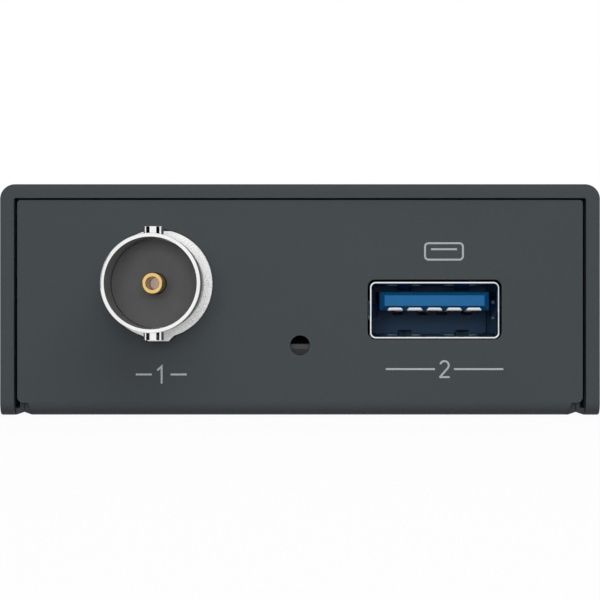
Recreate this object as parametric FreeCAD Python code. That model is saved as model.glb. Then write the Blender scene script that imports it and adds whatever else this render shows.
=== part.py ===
import FreeCAD, Part
import math
import os

from FreeCAD import Vector

# A pocket-sized video-over-network decoder: a bent tray that carries one board,
# and a U-shaped cover that drops over it.
# All sizes are in millimetres. X runs to the right seen from the front, Y runs
# to the back and Z runs up. The origin is the mouth of the tripod thread, at
# the centre of the underside.

# Case
case_length = 100.9
case_width = 60.2
case_height = 23.2
cover_wall = 1.4
cover_corner_radius = 1.5
cover_inner_radius = 0.2
leg_edge_radius = 0.2
tray_sheet = 1.2
bend_inner_radius = 0.2

# How the tray sits inside the cover
panel_recess = 0.3
panel_side_gap = 0.3
panel_top_gap = 0.17
panel_top_corner_radius = 0.3
panel_low_corner_radius = 0.6
bend_relief_rise = 0.05
lip_width = 0.83
lip_height = 1.37
lip_root_thickness = 0.68
lip_groove_width = 0.39
lip_gap = 0.03
lip_end_gap = 0.15
seam_bevel_width = 0.75
seam_bevel_height = 0.26
bend_side_step = 0.54
bend_side_taper = 0.4
rear_flange_reach = 6.0
rear_flange_low_gap = 2.0
rear_flange_top_gap = 3.0

# Cover bosses and their screws
boss_length = 8.0
boss_reach = 6.8
boss_cap = 0.5
boss_from_end = 8.45
cover_screw_radius = 1.0
cover_screw_length = 4.0
cover_screw_head_radius = 1.9
cover_screw_rim = 0.15
cover_screw_sink = 0.05
screw_tip_gap = 0.3
drive_slot_width = 0.5
drive_slot_depth = 0.6

# Tripod nut
tripod_bore_radius = 2.6
tripod_shank_radius = 4.3
tripod_flange_radius = 5.5
tripod_nut_height = 6.2
tripod_mouth_chamfer = 0.3

# Board and what holds it
board_thickness = 1.6
board_side_gap = 0.57
board_end_gap = 0.55
board_notch_gap = 0.3
nut_window_gap = 0.7
socket_headroom = 1.9
standoff_radius = 2.4
standoff_from_side = 3.8
standoff_from_end = 24.4
board_screw_radius = 0.95
board_screw_tip_gap = 0.4
board_screw_head_radius = 1.9
board_screw_head_height = 1.2
film_thickness = 0.25
film_end_gap = 2.5
film_boss_gap = 1.5

# Coaxial video socket
bnc_x = -14.23
bnc_axis_above_board = 6.6
bnc_protrusion = 12.4
bnc_barrel_radius = 4.8
bnc_relief_depth = 0.2
bnc_land_length = 4.0
bnc_mouth_chamfer = 0.12
bnc_bore_radius = 4.41
bnc_lug_radius = 0.975
bnc_lug_tip = 5.52
bnc_lug_from_mouth = 5.2
bnc_lug_edge = 0.04
bnc_flange_radius = 5.44
bnc_flange_flat = 5.3
bnc_flange_proud = 0.2
bnc_tab_reach = 5.77
bnc_tab_tip_half_width = 1.03
bnc_tab_slope = 0.54
bnc_tail_radius = 4.9
bnc_tail_length = 3.0
bnc_hole_gap = 0.08
bnc_hole_flat_gap = 0.2
lining_depth = 8.3
lining_floor = 2.0
stem_radius = 2.35
stem_length = 1.5
centre_contact_radius = 1.03
centre_hole_radius = 0.64
centre_hole_depth = 6.0
centre_contact_from_mouth = 3.15
centre_contact_edge = 0.08
centre_tail_radius = 0.45
centre_tail_from_block_front = 6.0
bnc_block_width = 14.5
bnc_block_depth = 14.5
bnc_block_above_axis = 6.4
bnc_block_corner = 0.5
bnc_leg_radius = 0.5
bnc_leg_inset = 2.0

# USB-A socket
usb_a_x = 13.53
usb_a_centre_above_board = 3.96
usb_a_width = 13.0
usb_a_height = 5.68
usb_a_length = 17.9
usb_a_wall = 0.3
usb_a_corner_radius = 0.58
usb_a_proud = 0.1
usb_a_cavity = 11.8
tongue_width = 11.0
tongue_thickness = 1.85
tongue_bottom_above_centre = -0.03
tongue_recess = 0.3
tongue_bevel_length = 0.6
tongue_top_bevel = 0.34
tongue_low_bevel = 0.47
tongue_side_bevel = 0.49
fast_contact_pitch = 1.98
fast_contact_width = 1.5
slow_contact_inner = 1.0
slow_contact_outer = 3.5
slow_contact_width = 1.0
contact_thickness = 0.15
contact_proud = 0.05
contact_tail_width = 0.5
fast_pad_length = 2.6
fast_pad_rise_length = 1.0
slow_crest_from_front = 5.5
slow_tip_length = 1.0
slow_tip_drop = 0.1
slow_crest_drop = 0.45
slow_arm_length = 2.5
fast_tail_from_rear = 1.6
slow_tail_from_rear = 3.6
finger_width = 1.4
finger_spread = 2.9
finger_slot_gap = 0.25
finger_side_gap = 1.0
finger_tip_from_front = 1.35
finger_length = 4.3
finger_depth = 0.57
usb_a_hole_side_gap = 0.24
usb_a_hole_top_gap = 0.24
usb_a_hole_low_gap = 0.1
usb_a_hole_radius = 0.75
usb_a_foot_gap = 0.15
riser_width = 10.0

# Reset button behind its pin hole
reset_hole_radius = 1.0
reset_axis_above_board = 0.43
plunger_width = 2.4
plunger_height = 1.08
plunger_top_above_board = 0.52
plunger_face_height = 0.49
plunger_nose = 0.95
plunger_slope = 0.5
plunger_flange = 0.35
plunger_flange_length = 0.6
plunger_travel = 0.25
plunger_gap = 0.05
switch_from_panel = 1.75
switch_width = 4.8
switch_depth = 2.8
switch_below_board_top = 1.0
switch_above_board_top = 1.0
switch_wall = 0.4
switch_lug = 1.0
switch_lug_thickness = 0.2
switch_notch_gap = 0.2
dome_thickness = 0.12

# Network socket at the back
rj45_x = -12.0
rj45_width = 15.9
rj45_height = 13.3
rj45_length = 21.3
rj45_proud = 0.2
rj45_sheet = 0.25
rj45_fit = 0.05
plug_width = 11.8
plug_height = 6.8
plug_above_board = 2.3
plug_depth = 12.5
latch_width = 6.2
latch_height = 2.4
latch_step_width = 3.4
latch_step_height = 0.6
rj45_contact_pitch = 1.02
rj45_contact_width = 0.45
rj45_contact_thickness = 0.3
rj45_turn_from_rear = 2.8
rj45_turn_rise = 0.2
rj45_wire_length = 6.4
rj45_wire_rise = 2.0
rj45_tail_from_front = 3.0
lens_width = 2.8
lens_height = 1.9
lens_from_side = 0.75
lens_from_top = 0.75
lens_length = 5.0
rear_hole_gap = 0.15

# Power socket at the back
usb_c_x = 10.0
usb_c_width = 8.94
usb_c_height = 3.2
usb_c_length = 7.35
usb_c_corner = 1.5
usb_c_wall = 0.25
usb_c_proud = 0.1
usb_c_cavity = 6.2
usb_c_tongue_width = 6.69
usb_c_tongue_thickness = 0.7
usb_c_tongue_recess = 0.4
usb_c_contact_pitch = 0.5
usb_c_contact_width = 0.25
usb_c_contact_thickness = 0.1
usb_c_hole_gap = 0.2

# Status lights at the back
light_first_x = 17.0
light_pitch = 2.6
light_pipe_radius = 0.75
light_axis_above_board = 1.6
light_pipe_proud = 0.1
light_pipe_foot = 1.7
light_hole_gap = 0.1
status_led_length = 0.8
status_led_height = 0.7

# Chips and other components on the board
chip_gap = 1.0
processor_size = 15.0
processor_height = 1.8
memory_width = 7.0
memory_length = 11.0
memory_height = 1.0
flash_width = 5.0
flash_length = 6.0
flash_height = 0.9
network_chip_size = 5.0
video_chip_size = 5.0
small_chip_height = 0.9
shield_width = 11.0
shield_length = 9.0
shield_height = 2.4
shield_sheet = 0.2
power_chip_size = 4.0
inductor_size = 5.0
inductor_height = 3.0
capacitor_radius = 2.8
capacitor_height = 7.7
transformer_width = 11.0
transformer_length = 10.0
transformer_height = 8.0
crystal_width = 3.2
crystal_length = 2.5
crystal_height = 0.8
passive_width = 0.8
passive_length = 1.6
passive_height = 0.5
passive_pitch = 2.4
passive_count = 8

# Heat path
chip_pad_thickness = 0.5
top_pad_thickness = 1.0
spreader_width = 30.0
spreader_front = -13.0
spreader_rear_gap = 2.0
spreader_base = 2.6
spreader_fin_headroom = 5.3
spreader_fin_width = 1.4
spreader_fin_pitch = 3.4
spreader_core_width = 9.0
pin_radius = 1.3
pin_hole_gap = 0.1
pin_head_radius = 2.0
pin_head_height = 1.0
pin_barb_height = 0.8
pin_inset = 2.5

# Clearance of a shaft or leg in a hole that it fits
fit_gap = 0.05
leg_hole_gap = 0.1
leg_below_board = 0.9

# Levels and planes worked out from the sizes above
half_width = case_width / 2
half_length = case_length / 2
wall_x = half_width - cover_wall
ceiling_z = case_height - cover_wall
panel_y = half_length - panel_recess
panel_back_y = panel_y - tray_sheet
panel_half_width = wall_x - panel_side_gap
panel_top_z = ceiling_z - panel_top_gap
bend_outer_radius = bend_inner_radius + tray_sheet
bend_axis_y = panel_y - bend_outer_radius
panel_low_z = tray_sheet + bend_relief_rise
lip_x = wall_x - lip_width
plate_half_width = lip_x - lip_gap
bend_half_width = plate_half_width - bend_side_step
board_top_z = ceiling_z - socket_headroom - rj45_height
board_bottom_z = board_top_z - board_thickness
standoff_height = board_bottom_z - tray_sheet
board_half_width = lip_x - board_side_gap
board_half_length = panel_back_y - board_end_gap
leg_bottom_z = board_bottom_z - leg_below_board
boss_y = half_length - boss_from_end
boss_x = wall_x - boss_reach
cover_screw_x = boss_x + boss_reach / 2
boss_top_z = cover_screw_length + screw_tip_gap + boss_cap
standoff_x = board_half_width - standoff_from_side
standoff_y = board_half_length - standoff_from_end

# Places of the sockets
bnc_z = board_top_z + bnc_axis_above_board
bnc_mouth_y = -panel_y - bnc_protrusion
bnc_flange_y = -panel_y - bnc_flange_proud
bnc_block_y = -panel_back_y + fit_gap
lining_outer_radius = bnc_bore_radius - 0.6 * fit_gap
lining_floor_y = bnc_mouth_y + lining_depth
lining_end_y = lining_floor_y + lining_floor
bnc_tail_end_y = bnc_block_y + bnc_tail_length
stem_end_y = bnc_tail_end_y + stem_length
centre_tail_y = bnc_block_y + centre_tail_from_block_front
usb_a_z = board_top_z + usb_a_centre_above_board
usb_a_front_y = -panel_y - usb_a_proud
usb_a_rear_y = usb_a_front_y + usb_a_length
usb_a_back_wall_y = usb_a_front_y + usb_a_cavity
usb_a_low_z = usb_a_z - usb_a_height / 2
tongue_low_z = usb_a_z + tongue_bottom_above_centre
tongue_top_z = tongue_low_z + tongue_thickness
tongue_front_y = usb_a_front_y + tongue_recess
fast_tail_y = usb_a_rear_y - fast_tail_from_rear
slow_tail_y = usb_a_rear_y - slow_tail_from_rear
reset_hole_z = board_top_z + reset_axis_above_board
plunger_top_z = board_top_z + plunger_top_above_board
plunger_low_z = plunger_top_z - plunger_height
plunger_middle_z = (plunger_top_z + plunger_low_z) / 2
switch_front_y = -panel_back_y + switch_from_panel
switch_rear_y = switch_front_y + switch_depth
switch_cavity_y = switch_front_y + switch_wall
flange_front_y = switch_cavity_y + plunger_gap
flange_rear_y = flange_front_y + plunger_flange_length
dome_y = flange_rear_y + plunger_travel + plunger_gap
rj45_rear_y = panel_y + rj45_proud
rj45_front_y = rj45_rear_y - rj45_length
rj45_top_z = board_top_z + rj45_height
plug_low_z = board_top_z + plug_above_board
plug_top_z = plug_low_z + plug_height
latch_top_z = plug_top_z + latch_height
plug_end_y = rj45_rear_y - plug_depth
lens_x = rj45_width / 2 - lens_from_side - lens_width / 2
lens_z = rj45_top_z - lens_from_top - lens_height / 2
usb_c_z = board_top_z + usb_c_height / 2
usb_c_rear_y = panel_y + usb_c_proud
usb_c_front_y = usb_c_rear_y - usb_c_length
usb_c_back_wall_y = usb_c_rear_y - usb_c_cavity
light_z = board_top_z + light_axis_above_board

# Places of the components on the board
nut_window_radius = tripod_flange_radius + nut_window_gap
processor_y = nut_window_radius + chip_gap + processor_size / 2
memory_x = processor_size / 2 + chip_gap + memory_width / 2
spreader_low_z = board_top_z + processor_height + chip_pad_thickness
spreader_base_top_z = spreader_low_z + spreader_base
spreader_top_z = ceiling_z - top_pad_thickness
spreader_rear = rj45_front_y - spreader_rear_gap
spreader_middle_y = (spreader_front + spreader_rear) / 2
side_part_x = (spreader_width / 2 + board_half_width) / 2
top_pad_length = processor_size + 2 * chip_gap


def box(low_x, high_x, low_y, high_y, low_z, high_z):
    corner = Vector(low_x, low_y, low_z)
    return Part.makeBox(high_x - low_x, high_y - low_y, high_z - low_z, corner)


def block_on(level, x, y, width, length, height):
    """A block that stands on a level, centred on x and y."""
    return box(x - width / 2, x + width / 2, y - length / 2, y + length / 2, level, level + height)


def rod_y(x, z, radius, low_y, high_y):
    return Part.makeCylinder(radius, high_y - low_y, Vector(x, low_y, z), Vector(0, 1, 0))


def rod_z(x, y, radius, low_z, high_z):
    return Part.makeCylinder(radius, high_z - low_z, Vector(x, y, low_z), Vector(0, 0, 1))


def fuse_all(solids):
    return solids[0].fuse(solids[1:]).removeSplitter()


def cut_all(solid, tools):
    return solid.cut(tools).removeSplitter()


def rounded_face(corners, place):
    """A face from corners (u, v, radius), where place puts u and v in space."""
    count = len(corners)
    turns = []
    for index in range(count):
        u, v, radius = corners[index]
        here = place(u, v)
        before = place(*corners[index - 1][:2])
        after = place(*corners[(index + 1) % count][:2])
        back = (before - here).normalize()
        ahead = (after - here).normalize()
        if radius == 0:
            turns.append((here, None, here))
            continue
        half_angle = back.getAngle(ahead) / 2
        reach = radius / math.tan(half_angle)
        towards_centre = (back + ahead).normalize()
        middle = here + towards_centre * (radius / math.sin(half_angle) - radius)
        turns.append((here + back * reach, middle, here + ahead * reach))
    edges = []
    for index in range(count):
        start, middle, end = turns[index]
        if middle is not None:
            edges.append(Part.Arc(start, middle, end).toShape())
        following = turns[(index + 1) % count][0]
        if (following - end).Length > 0.000001:
            edges.append(Part.LineSegment(end, following).toShape())
    return Part.Face(Part.Wire(edges))


def bar_x(corners, low_x, high_x):
    """A bar along X whose section has corners (y, z, radius)."""
    face = rounded_face(corners, lambda y, z: Vector(low_x, y, z))
    return face.extrude(Vector(high_x - low_x, 0, 0))


def bar_y(corners, low_y, high_y):
    """A bar along Y whose section has corners (x, z, radius)."""
    face = rounded_face(corners, lambda x, z: Vector(x, low_y, z))
    return face.extrude(Vector(0, high_y - low_y, 0))


def plate_z(corners, low_z, high_z):
    """A plate whose outline has corners (x, y, radius)."""
    face = rounded_face(corners, lambda x, y: Vector(x, y, low_z))
    return face.extrude(Vector(0, 0, high_z - low_z))


def rectangle(u, v, width, height, radius):
    left = u - width / 2
    right = u + width / 2
    low = v - height / 2
    high = v + height / 2
    return [(left, low, radius), (right, low, radius), (right, high, radius), (left, high, radius)]


def strip_section(path, thickness):
    """Corners of a bent strip that follows a path of (u, v) points."""
    points = [Vector(u, v, 0) for u, v in path]
    last = len(points) - 1
    left = []
    right = []
    for index, point in enumerate(points):
        arriving = point - points[index - 1] if index > 0 else points[1] - point
        leaving = points[index + 1] - point if index < last else arriving
        arriving = Vector(arriving).normalize()
        leaving = Vector(leaving).normalize()
        along = (arriving + leaving).normalize()
        aside = Vector(-along.y, along.x, 0)
        offset = aside * (thickness / 2 / along.dot(arriving))
        left.append((point.x + offset.x, point.y + offset.y, 0))
        right.append((point.x - offset.x, point.y - offset.y, 0))
    return left + right[::-1]


def four_ways(x, y):
    return [(side_x * x, side_y * y) for side_x in (-1, 1) for side_y in (-1, 1)]


def mirrored(solid):
    return solid.mirror(Vector(0, 0, 0), Vector(1, 0, 0))


def cover_screw_space(x, y, extra):
    """The space of a countersunk screw, wider by extra."""
    head = cover_screw_head_radius + extra
    shank = cover_screw_radius + extra
    rim_top = cover_screw_sink + cover_screw_rim
    cone_top = rim_top + head - shank
    rim = rod_z(x, y, head, cover_screw_sink, rim_top)
    cone = Part.makeCone(head, shank, head - shank, Vector(x, y, rim_top))
    return fuse_all([rim, cone, rod_z(x, y, shank, cone_top - fit_gap, cover_screw_length)])


def cover_screw_hole(x, y):
    space = cover_screw_space(x, y, fit_gap)
    mouth = rod_z(x, y, cover_screw_head_radius + fit_gap, -fit_gap, cover_screw_sink + fit_gap)
    shank = cover_screw_radius + fit_gap
    bottom = rod_z(x, y, shank, cover_screw_length - fit_gap, cover_screw_length + screw_tip_gap)
    return fuse_all([space, mouth, bottom])


def make_top_cover():
    shell = bar_y(
        [
            (-half_width, 0, leg_edge_radius),
            (half_width, 0, leg_edge_radius),
            (half_width, case_height, cover_corner_radius),
            (-half_width, case_height, cover_corner_radius),
        ],
        -half_length,
        half_length,
    )
    hollow = bar_y(
        [
            (-wall_x, -case_height, 0),
            (wall_x, -case_height, 0),
            (wall_x, ceiling_z, cover_inner_radius),
            (-wall_x, ceiling_z, cover_inner_radius),
        ],
        -case_length,
        case_length,
    )
    # Seen from the side, the lower ends of both legs are as round as the tray's bends.
    side_form = bar_x(
        [
            (-half_length, 0, bend_outer_radius),
            (half_length, 0, bend_outer_radius),
            (half_length, case_height, 0),
            (-half_length, case_height, 0),
        ],
        -half_width,
        half_width,
    )
    cover = shell.cut(hollow).common(side_form)
    inside_wall = wall_x + cover_wall / 2
    lip_end_y = panel_back_y - lip_end_gap
    # The lip is a hook: a thin root beside the leg, then an upstand along the tray's edge.
    groove_x = wall_x - lip_groove_width
    lip = bar_y(
        [
            (inside_wall, 0, 0),
            (inside_wall, lip_root_thickness, 0),
            (groove_x, lip_root_thickness, 0),
            (groove_x, lip_height, 0),
            (lip_x, lip_height, 0),
            (lip_x, seam_bevel_height, 0),
            (lip_x + seam_bevel_width, 0, 0),
        ],
        -lip_end_y,
        lip_end_y,
    )
    pieces = [cover, lip, mirrored(lip)]
    for side_y in (-1, 1):
        near = side_y * boss_y - boss_length / 2
        boss = box(boss_x, inside_wall, near, near + boss_length, tray_sheet, boss_top_z)
        pieces += [boss, mirrored(boss)]
    holes = [cover_screw_hole(x, y) for x, y in four_ways(cover_screw_x, boss_y)]
    return cut_all(fuse_all(pieces), holes)


def make_base_tray():
    sheet = bar_x(
        [
            (-panel_y, panel_top_z, 0),
            (-panel_y, 0, bend_outer_radius),
            (panel_y, 0, bend_outer_radius),
            (panel_y, panel_top_z, 0),
            (panel_back_y, panel_top_z, 0),
            (panel_back_y, tray_sheet, bend_inner_radius),
            (-panel_back_y, tray_sheet, bend_inner_radius),
            (-panel_back_y, panel_top_z, 0),
        ],
        -panel_half_width,
        panel_half_width,
    )
    bevel_x = plate_half_width - seam_bevel_width
    right = [
        (bevel_x, 0, 0),
        (plate_half_width, seam_bevel_height, 0),
        (plate_half_width, panel_low_z, 0),
        (panel_half_width, panel_low_z, panel_low_corner_radius),
        (panel_half_width, panel_top_z, panel_top_corner_radius),
    ]
    left = [(-x, z, radius) for x, z, radius in right[::-1]]
    tray = sheet.common(bar_y(right + left, -half_length, half_length))

    # The rear panel's two sides are stiffened by flanges that run forward along the cover.
    flange = box(
        panel_half_width - tray_sheet,
        panel_half_width,
        panel_back_y - rear_flange_reach,
        panel_y - tray_sheet / 2,
        boss_top_z + rear_flange_low_gap,
        panel_top_z - rear_flange_top_gap,
    )
    tray = fuse_all([tray, flange, mirrored(flange)])

    # The bends are a little narrower than the plate, and taper downwards.
    relief = [
        (bend_half_width, panel_low_z, 0),
        (bend_half_width - bend_side_taper, 0, 0),
        (half_width, 0, 0),
        (half_width, panel_low_z, 0),
    ]
    tools = []
    for low_y in (-half_length, bend_axis_y):
        notch = bar_y(relief, low_y, low_y + half_length - bend_axis_y)
        tools += [notch, mirrored(notch)]

    tools += [cover_screw_hole(x, y) for x, y in four_ways(cover_screw_x, boss_y)]
    tools.append(rod_z(0, 0, tripod_shank_radius + fit_gap, -tray_sheet, 2 * tray_sheet))
    outside = -half_length
    inside = -panel_back_y + fit_gap
    flat = bnc_flange_flat + bnc_hole_flat_gap
    tools.append(bnc_flange_form(bnc_hole_gap, flat, outside, inside))
    hole_width = usb_a_width + 2 * usb_a_hole_side_gap
    hole_low = usb_a_low_z - usb_a_hole_low_gap
    hole_high = usb_a_low_z + usb_a_height + usb_a_hole_top_gap
    hole_middle = (hole_low + hole_high) / 2
    usb_hole = rectangle(usb_a_x, hole_middle, hole_width, hole_high - hole_low, usb_a_hole_radius)
    tools.append(bar_y(usb_hole, outside, inside))
    tools.append(rod_y(0, reset_hole_z, reset_hole_radius, outside, inside))

    rear_inside = panel_back_y - fit_gap
    rj45_hole = rectangle(
        rj45_x,
        (board_top_z + rj45_top_z) / 2,
        rj45_width + 2 * rear_hole_gap,
        rj45_height + 2 * rear_hole_gap,
        rear_hole_gap,
    )
    tools.append(bar_y(rj45_hole, rear_inside, half_length))
    usb_c_hole = rectangle(
        usb_c_x,
        usb_c_z,
        usb_c_width + 2 * usb_c_hole_gap,
        usb_c_height + 2 * usb_c_hole_gap,
        usb_c_corner + usb_c_hole_gap,
    )
    tools.append(bar_y(usb_c_hole, rear_inside, half_length))
    for x in light_places():
        tools.append(rod_y(x, light_z, light_pipe_radius + light_hole_gap, rear_inside, half_length))
    return cut_all(tray, tools)


def make_tripod_nut():
    shank_end = tray_sheet + fit_gap
    pieces = [rod_z(0, 0, tripod_shank_radius, 0, shank_end)]
    pieces.append(rod_z(0, 0, tripod_flange_radius, tray_sheet, tripod_nut_height))
    mouth = tripod_bore_radius + tripod_mouth_chamfer
    chamfer = Part.makeCone(mouth, tripod_bore_radius, tripod_mouth_chamfer, Vector(0, 0, 0))
    bore = rod_z(0, 0, tripod_bore_radius, 0, tripod_nut_height)
    return cut_all(fuse_all(pieces), [chamfer, bore])


def make_cover_screws():
    screws = []
    for x, y in four_ways(cover_screw_x, boss_y):
        reach = cover_screw_head_radius
        slot_top = cover_screw_sink + drive_slot_depth
        slots = [
            block_on(0, x, y, reach, drive_slot_width, slot_top),
            block_on(0, x, y, drive_slot_width, reach, slot_top),
        ]
        screws.append(cut_all(cover_screw_space(x, y, 0), slots))
    return screws


def make_board_standoffs():
    standoffs = []
    for x, y in four_ways(standoff_x, standoff_y):
        post = rod_z(x, y, standoff_radius, tray_sheet, board_bottom_z)
        bore = rod_z(x, y, board_screw_radius + fit_gap, tray_sheet + fit_gap, board_bottom_z)
        standoffs.append(post.cut(bore))
    return standoffs


def make_board_screws():
    screws = []
    head_top = board_top_z + board_screw_head_height
    for x, y in four_ways(standoff_x, standoff_y):
        head = rod_z(x, y, board_screw_head_radius, board_top_z, head_top)
        shank_end = tray_sheet + board_screw_tip_gap
        shank = rod_z(x, y, board_screw_radius, shank_end, board_top_z)
        low = head_top - drive_slot_depth
        slots = [
            block_on(low, x, y, board_screw_head_radius, drive_slot_width, drive_slot_depth),
            block_on(low, x, y, drive_slot_width, board_screw_head_radius, drive_slot_depth),
        ]
        screws.append(cut_all(fuse_all([head, shank]), slots))
    return screws


def make_insulating_film():
    half_film = boss_x - film_boss_gap
    end = panel_back_y - film_end_gap
    top = tray_sheet + film_thickness
    film = box(-half_film, half_film, -end, end, tray_sheet, top)
    window = processor_size + 2 * fit_gap
    tools = [rod_z(0, 0, nut_window_radius - nut_window_gap / 2, 0, board_bottom_z)]
    tools.append(block_on(tray_sheet, 0, processor_y, window, window, film_thickness))
    return cut_all(film, tools)


def make_main_board():
    end = board_half_length
    side = board_half_width
    board = plate_z(rectangle(0, 0, 2 * side, 2 * end, 0), board_bottom_z, board_top_z)
    notch_x = boss_x - board_notch_gap
    notch_length = boss_length + 2 * board_notch_gap
    notch_width = side - notch_x + fit_gap
    tools = []
    for x, y in four_ways(notch_x + notch_width / 2, boss_y):
        tools.append(block_on(board_bottom_z, x, y, notch_width, notch_length, board_thickness))
    for x, y in four_ways(standoff_x, standoff_y):
        tools.append(rod_z(x, y, board_screw_radius + leg_hole_gap, board_bottom_z, board_top_z))
    tools.append(rod_z(0, 0, nut_window_radius, board_bottom_z, board_top_z))
    for x, y in pin_places():
        tools.append(rod_z(x, y, pin_radius + pin_hole_gap, board_bottom_z, board_top_z))
    switch_space = switch_rear_y + switch_notch_gap
    half_switch = switch_width / 2 + switch_notch_gap
    tools.append(box(-half_switch, half_switch, -end, switch_space, board_bottom_z, board_top_z))
    for x, y in bnc_leg_places():
        tools.append(rod_z(x, y, bnc_leg_radius + leg_hole_gap, board_bottom_z, board_top_z))
    centre_hole = centre_tail_radius + leg_hole_gap
    tools.append(rod_z(bnc_x, centre_tail_y, centre_hole, board_bottom_z, board_top_z))
    tail_hole = contact_tail_width / 2 + leg_hole_gap
    for x in fast_contact_places():
        tools.append(rod_z(x, fast_tail_y, tail_hole, board_bottom_z, board_top_z))
    for x in slow_contact_places():
        tools.append(rod_z(x, slow_tail_y, tail_hole, board_bottom_z, board_top_z))
    for leg in usb_a_legs(leg_hole_gap) + rj45_legs(leg_hole_gap):
        tools.append(leg)
    for x in rj45_contact_places():
        tools.append(rod_z(x, rj45_tail_y(), tail_hole, board_bottom_z, board_top_z))
    return cut_all(board, tools)


def bnc_flange_form(extra, flat, low_y, high_y):
    """The socket's round flange with its flat above and its key tab below."""
    disc = rod_y(bnc_x, bnc_z, bnc_flange_radius + extra, low_y, high_y)
    above = bnc_z + flat
    reach = 2 * bnc_flange_radius
    disc = disc.cut(box(bnc_x - reach, bnc_x + reach, low_y, high_y, above, above + reach))
    tip = bnc_tab_tip_half_width + extra
    root = tip + bnc_tab_slope
    low = bnc_z - bnc_tab_reach - extra
    tab = bar_y(
        [
            (bnc_x - tip, low, 0),
            (bnc_x + tip, low, 0),
            (bnc_x + root, low + bnc_tab_slope, 0),
            (bnc_x + root, bnc_z, 0),
            (bnc_x - root, bnc_z, 0),
            (bnc_x - root, low + bnc_tab_slope, 0),
        ],
        low_y,
        high_y,
    )
    return fuse_all([disc, tab])


def bnc_lug(side):
    """A bayonet lug on the barrel, above it for side 1 and below for side -1."""
    y = bnc_mouth_y + bnc_lug_from_mouth
    root = bnc_bore_radius - bnc_lug_edge
    straight = bnc_lug_tip - root - bnc_lug_edge
    out = Vector(0, 0, side)
    foot = Vector(bnc_x, y, bnc_z + side * root)
    post = Part.makeCylinder(bnc_lug_radius, straight, foot, out)
    shoulder = foot + out * straight
    tip_radius = bnc_lug_radius - bnc_lug_edge
    tip = Part.makeCone(bnc_lug_radius, tip_radius, bnc_lug_edge, shoulder, out)
    return fuse_all([post, tip])


def make_bnc_shell():
    land_end_y = bnc_mouth_y + bnc_land_length
    chamfer = bnc_mouth_chamfer
    front = Part.makeCone(
        bnc_barrel_radius - chamfer,
        bnc_barrel_radius,
        chamfer,
        Vector(bnc_x, bnc_mouth_y, bnc_z),
        Vector(0, 1, 0),
    )
    relief_radius = bnc_barrel_radius - bnc_relief_depth
    pieces = [
        front,
        rod_y(bnc_x, bnc_z, bnc_barrel_radius, bnc_mouth_y + chamfer, land_end_y),
        rod_y(bnc_x, bnc_z, relief_radius, land_end_y - fit_gap, bnc_flange_y + fit_gap),
        bnc_flange_form(0, bnc_flange_flat, bnc_flange_y, bnc_block_y),
        rod_y(bnc_x, bnc_z, bnc_tail_radius, bnc_block_y - fit_gap, bnc_tail_end_y),
        bnc_lug(1),
        bnc_lug(-1),
    ]
    bores = [
        rod_y(bnc_x, bnc_z, bnc_bore_radius, bnc_mouth_y, lining_end_y),
        rod_y(bnc_x, bnc_z, stem_radius + fit_gap, lining_end_y - fit_gap, bnc_tail_end_y),
    ]
    return cut_all(fuse_all(pieces), bores)


def make_bnc_insulator():
    pieces = [
        rod_y(bnc_x, bnc_z, lining_outer_radius, lining_floor_y, lining_end_y),
        rod_y(bnc_x, bnc_z, stem_radius, lining_end_y - fit_gap, stem_end_y),
    ]
    bore = rod_y(bnc_x, bnc_z, centre_contact_radius + fit_gap, lining_floor_y - fit_gap, stem_end_y)
    return cut_all(fuse_all(pieces), [bore])


def make_bnc_contact():
    tip_y = bnc_mouth_y + centre_contact_from_mouth
    edge = centre_contact_edge
    tip = Part.makeCone(
        centre_contact_radius - edge,
        centre_contact_radius,
        edge,
        Vector(bnc_x, tip_y, bnc_z),
        Vector(0, 1, 0),
    )
    pieces = [
        tip,
        rod_y(bnc_x, bnc_z, centre_contact_radius, tip_y + edge, stem_end_y),
        rod_y(bnc_x, bnc_z, centre_tail_radius, stem_end_y - fit_gap, centre_tail_y),
        Part.makeSphere(centre_tail_radius, Vector(bnc_x, centre_tail_y, bnc_z)),
        rod_z(bnc_x, centre_tail_y, centre_tail_radius, leg_bottom_z, bnc_z),
    ]
    socket = rod_y(bnc_x, bnc_z, centre_hole_radius, tip_y, tip_y + centre_hole_depth)
    return cut_all(fuse_all(pieces), [socket])


def bnc_leg_places():
    half_spread = bnc_block_width / 2 - bnc_leg_inset
    rear = bnc_block_y + bnc_block_depth - bnc_leg_inset
    front = bnc_block_y + bnc_leg_inset
    return [(bnc_x + side * half_spread, y) for side in (-1, 1) for y in (front, rear)]


def make_bnc_block():
    top = bnc_z + bnc_block_above_axis
    middle = (board_top_z + top) / 2
    height = top - board_top_z
    end_y = bnc_block_y + bnc_block_depth
    section = rectangle(bnc_x, middle, bnc_block_width, height, bnc_block_corner)
    pieces = [bar_y(section, bnc_block_y, end_y)]
    for x, y in bnc_leg_places():
        pieces.append(rod_z(x, y, bnc_leg_radius, leg_bottom_z, board_top_z + bnc_block_corner))
    chimney = stem_radius + 2 * fit_gap
    tools = [
        rod_y(bnc_x, bnc_z, bnc_tail_radius + fit_gap, bnc_block_y, bnc_tail_end_y),
        rod_y(bnc_x, bnc_z, chimney, bnc_tail_end_y - fit_gap, centre_tail_y),
        rod_z(bnc_x, centre_tail_y, chimney, board_top_z - fit_gap, bnc_z + chimney),
    ]
    return cut_all(fuse_all(pieces), tools)


def finger_section(depth_sign):
    """A spring finger's path, from its curled tip over the crest to its root in the wall."""
    tip = usb_a_front_y + finger_tip_from_front
    return [
        (tip, depth_sign * finger_depth * 0.65),
        (tip + 0.1 * finger_length, depth_sign * finger_depth * 0.95),
        (tip + 0.3 * finger_length, depth_sign * finger_depth),
        (tip + finger_length, 0),
    ]


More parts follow.
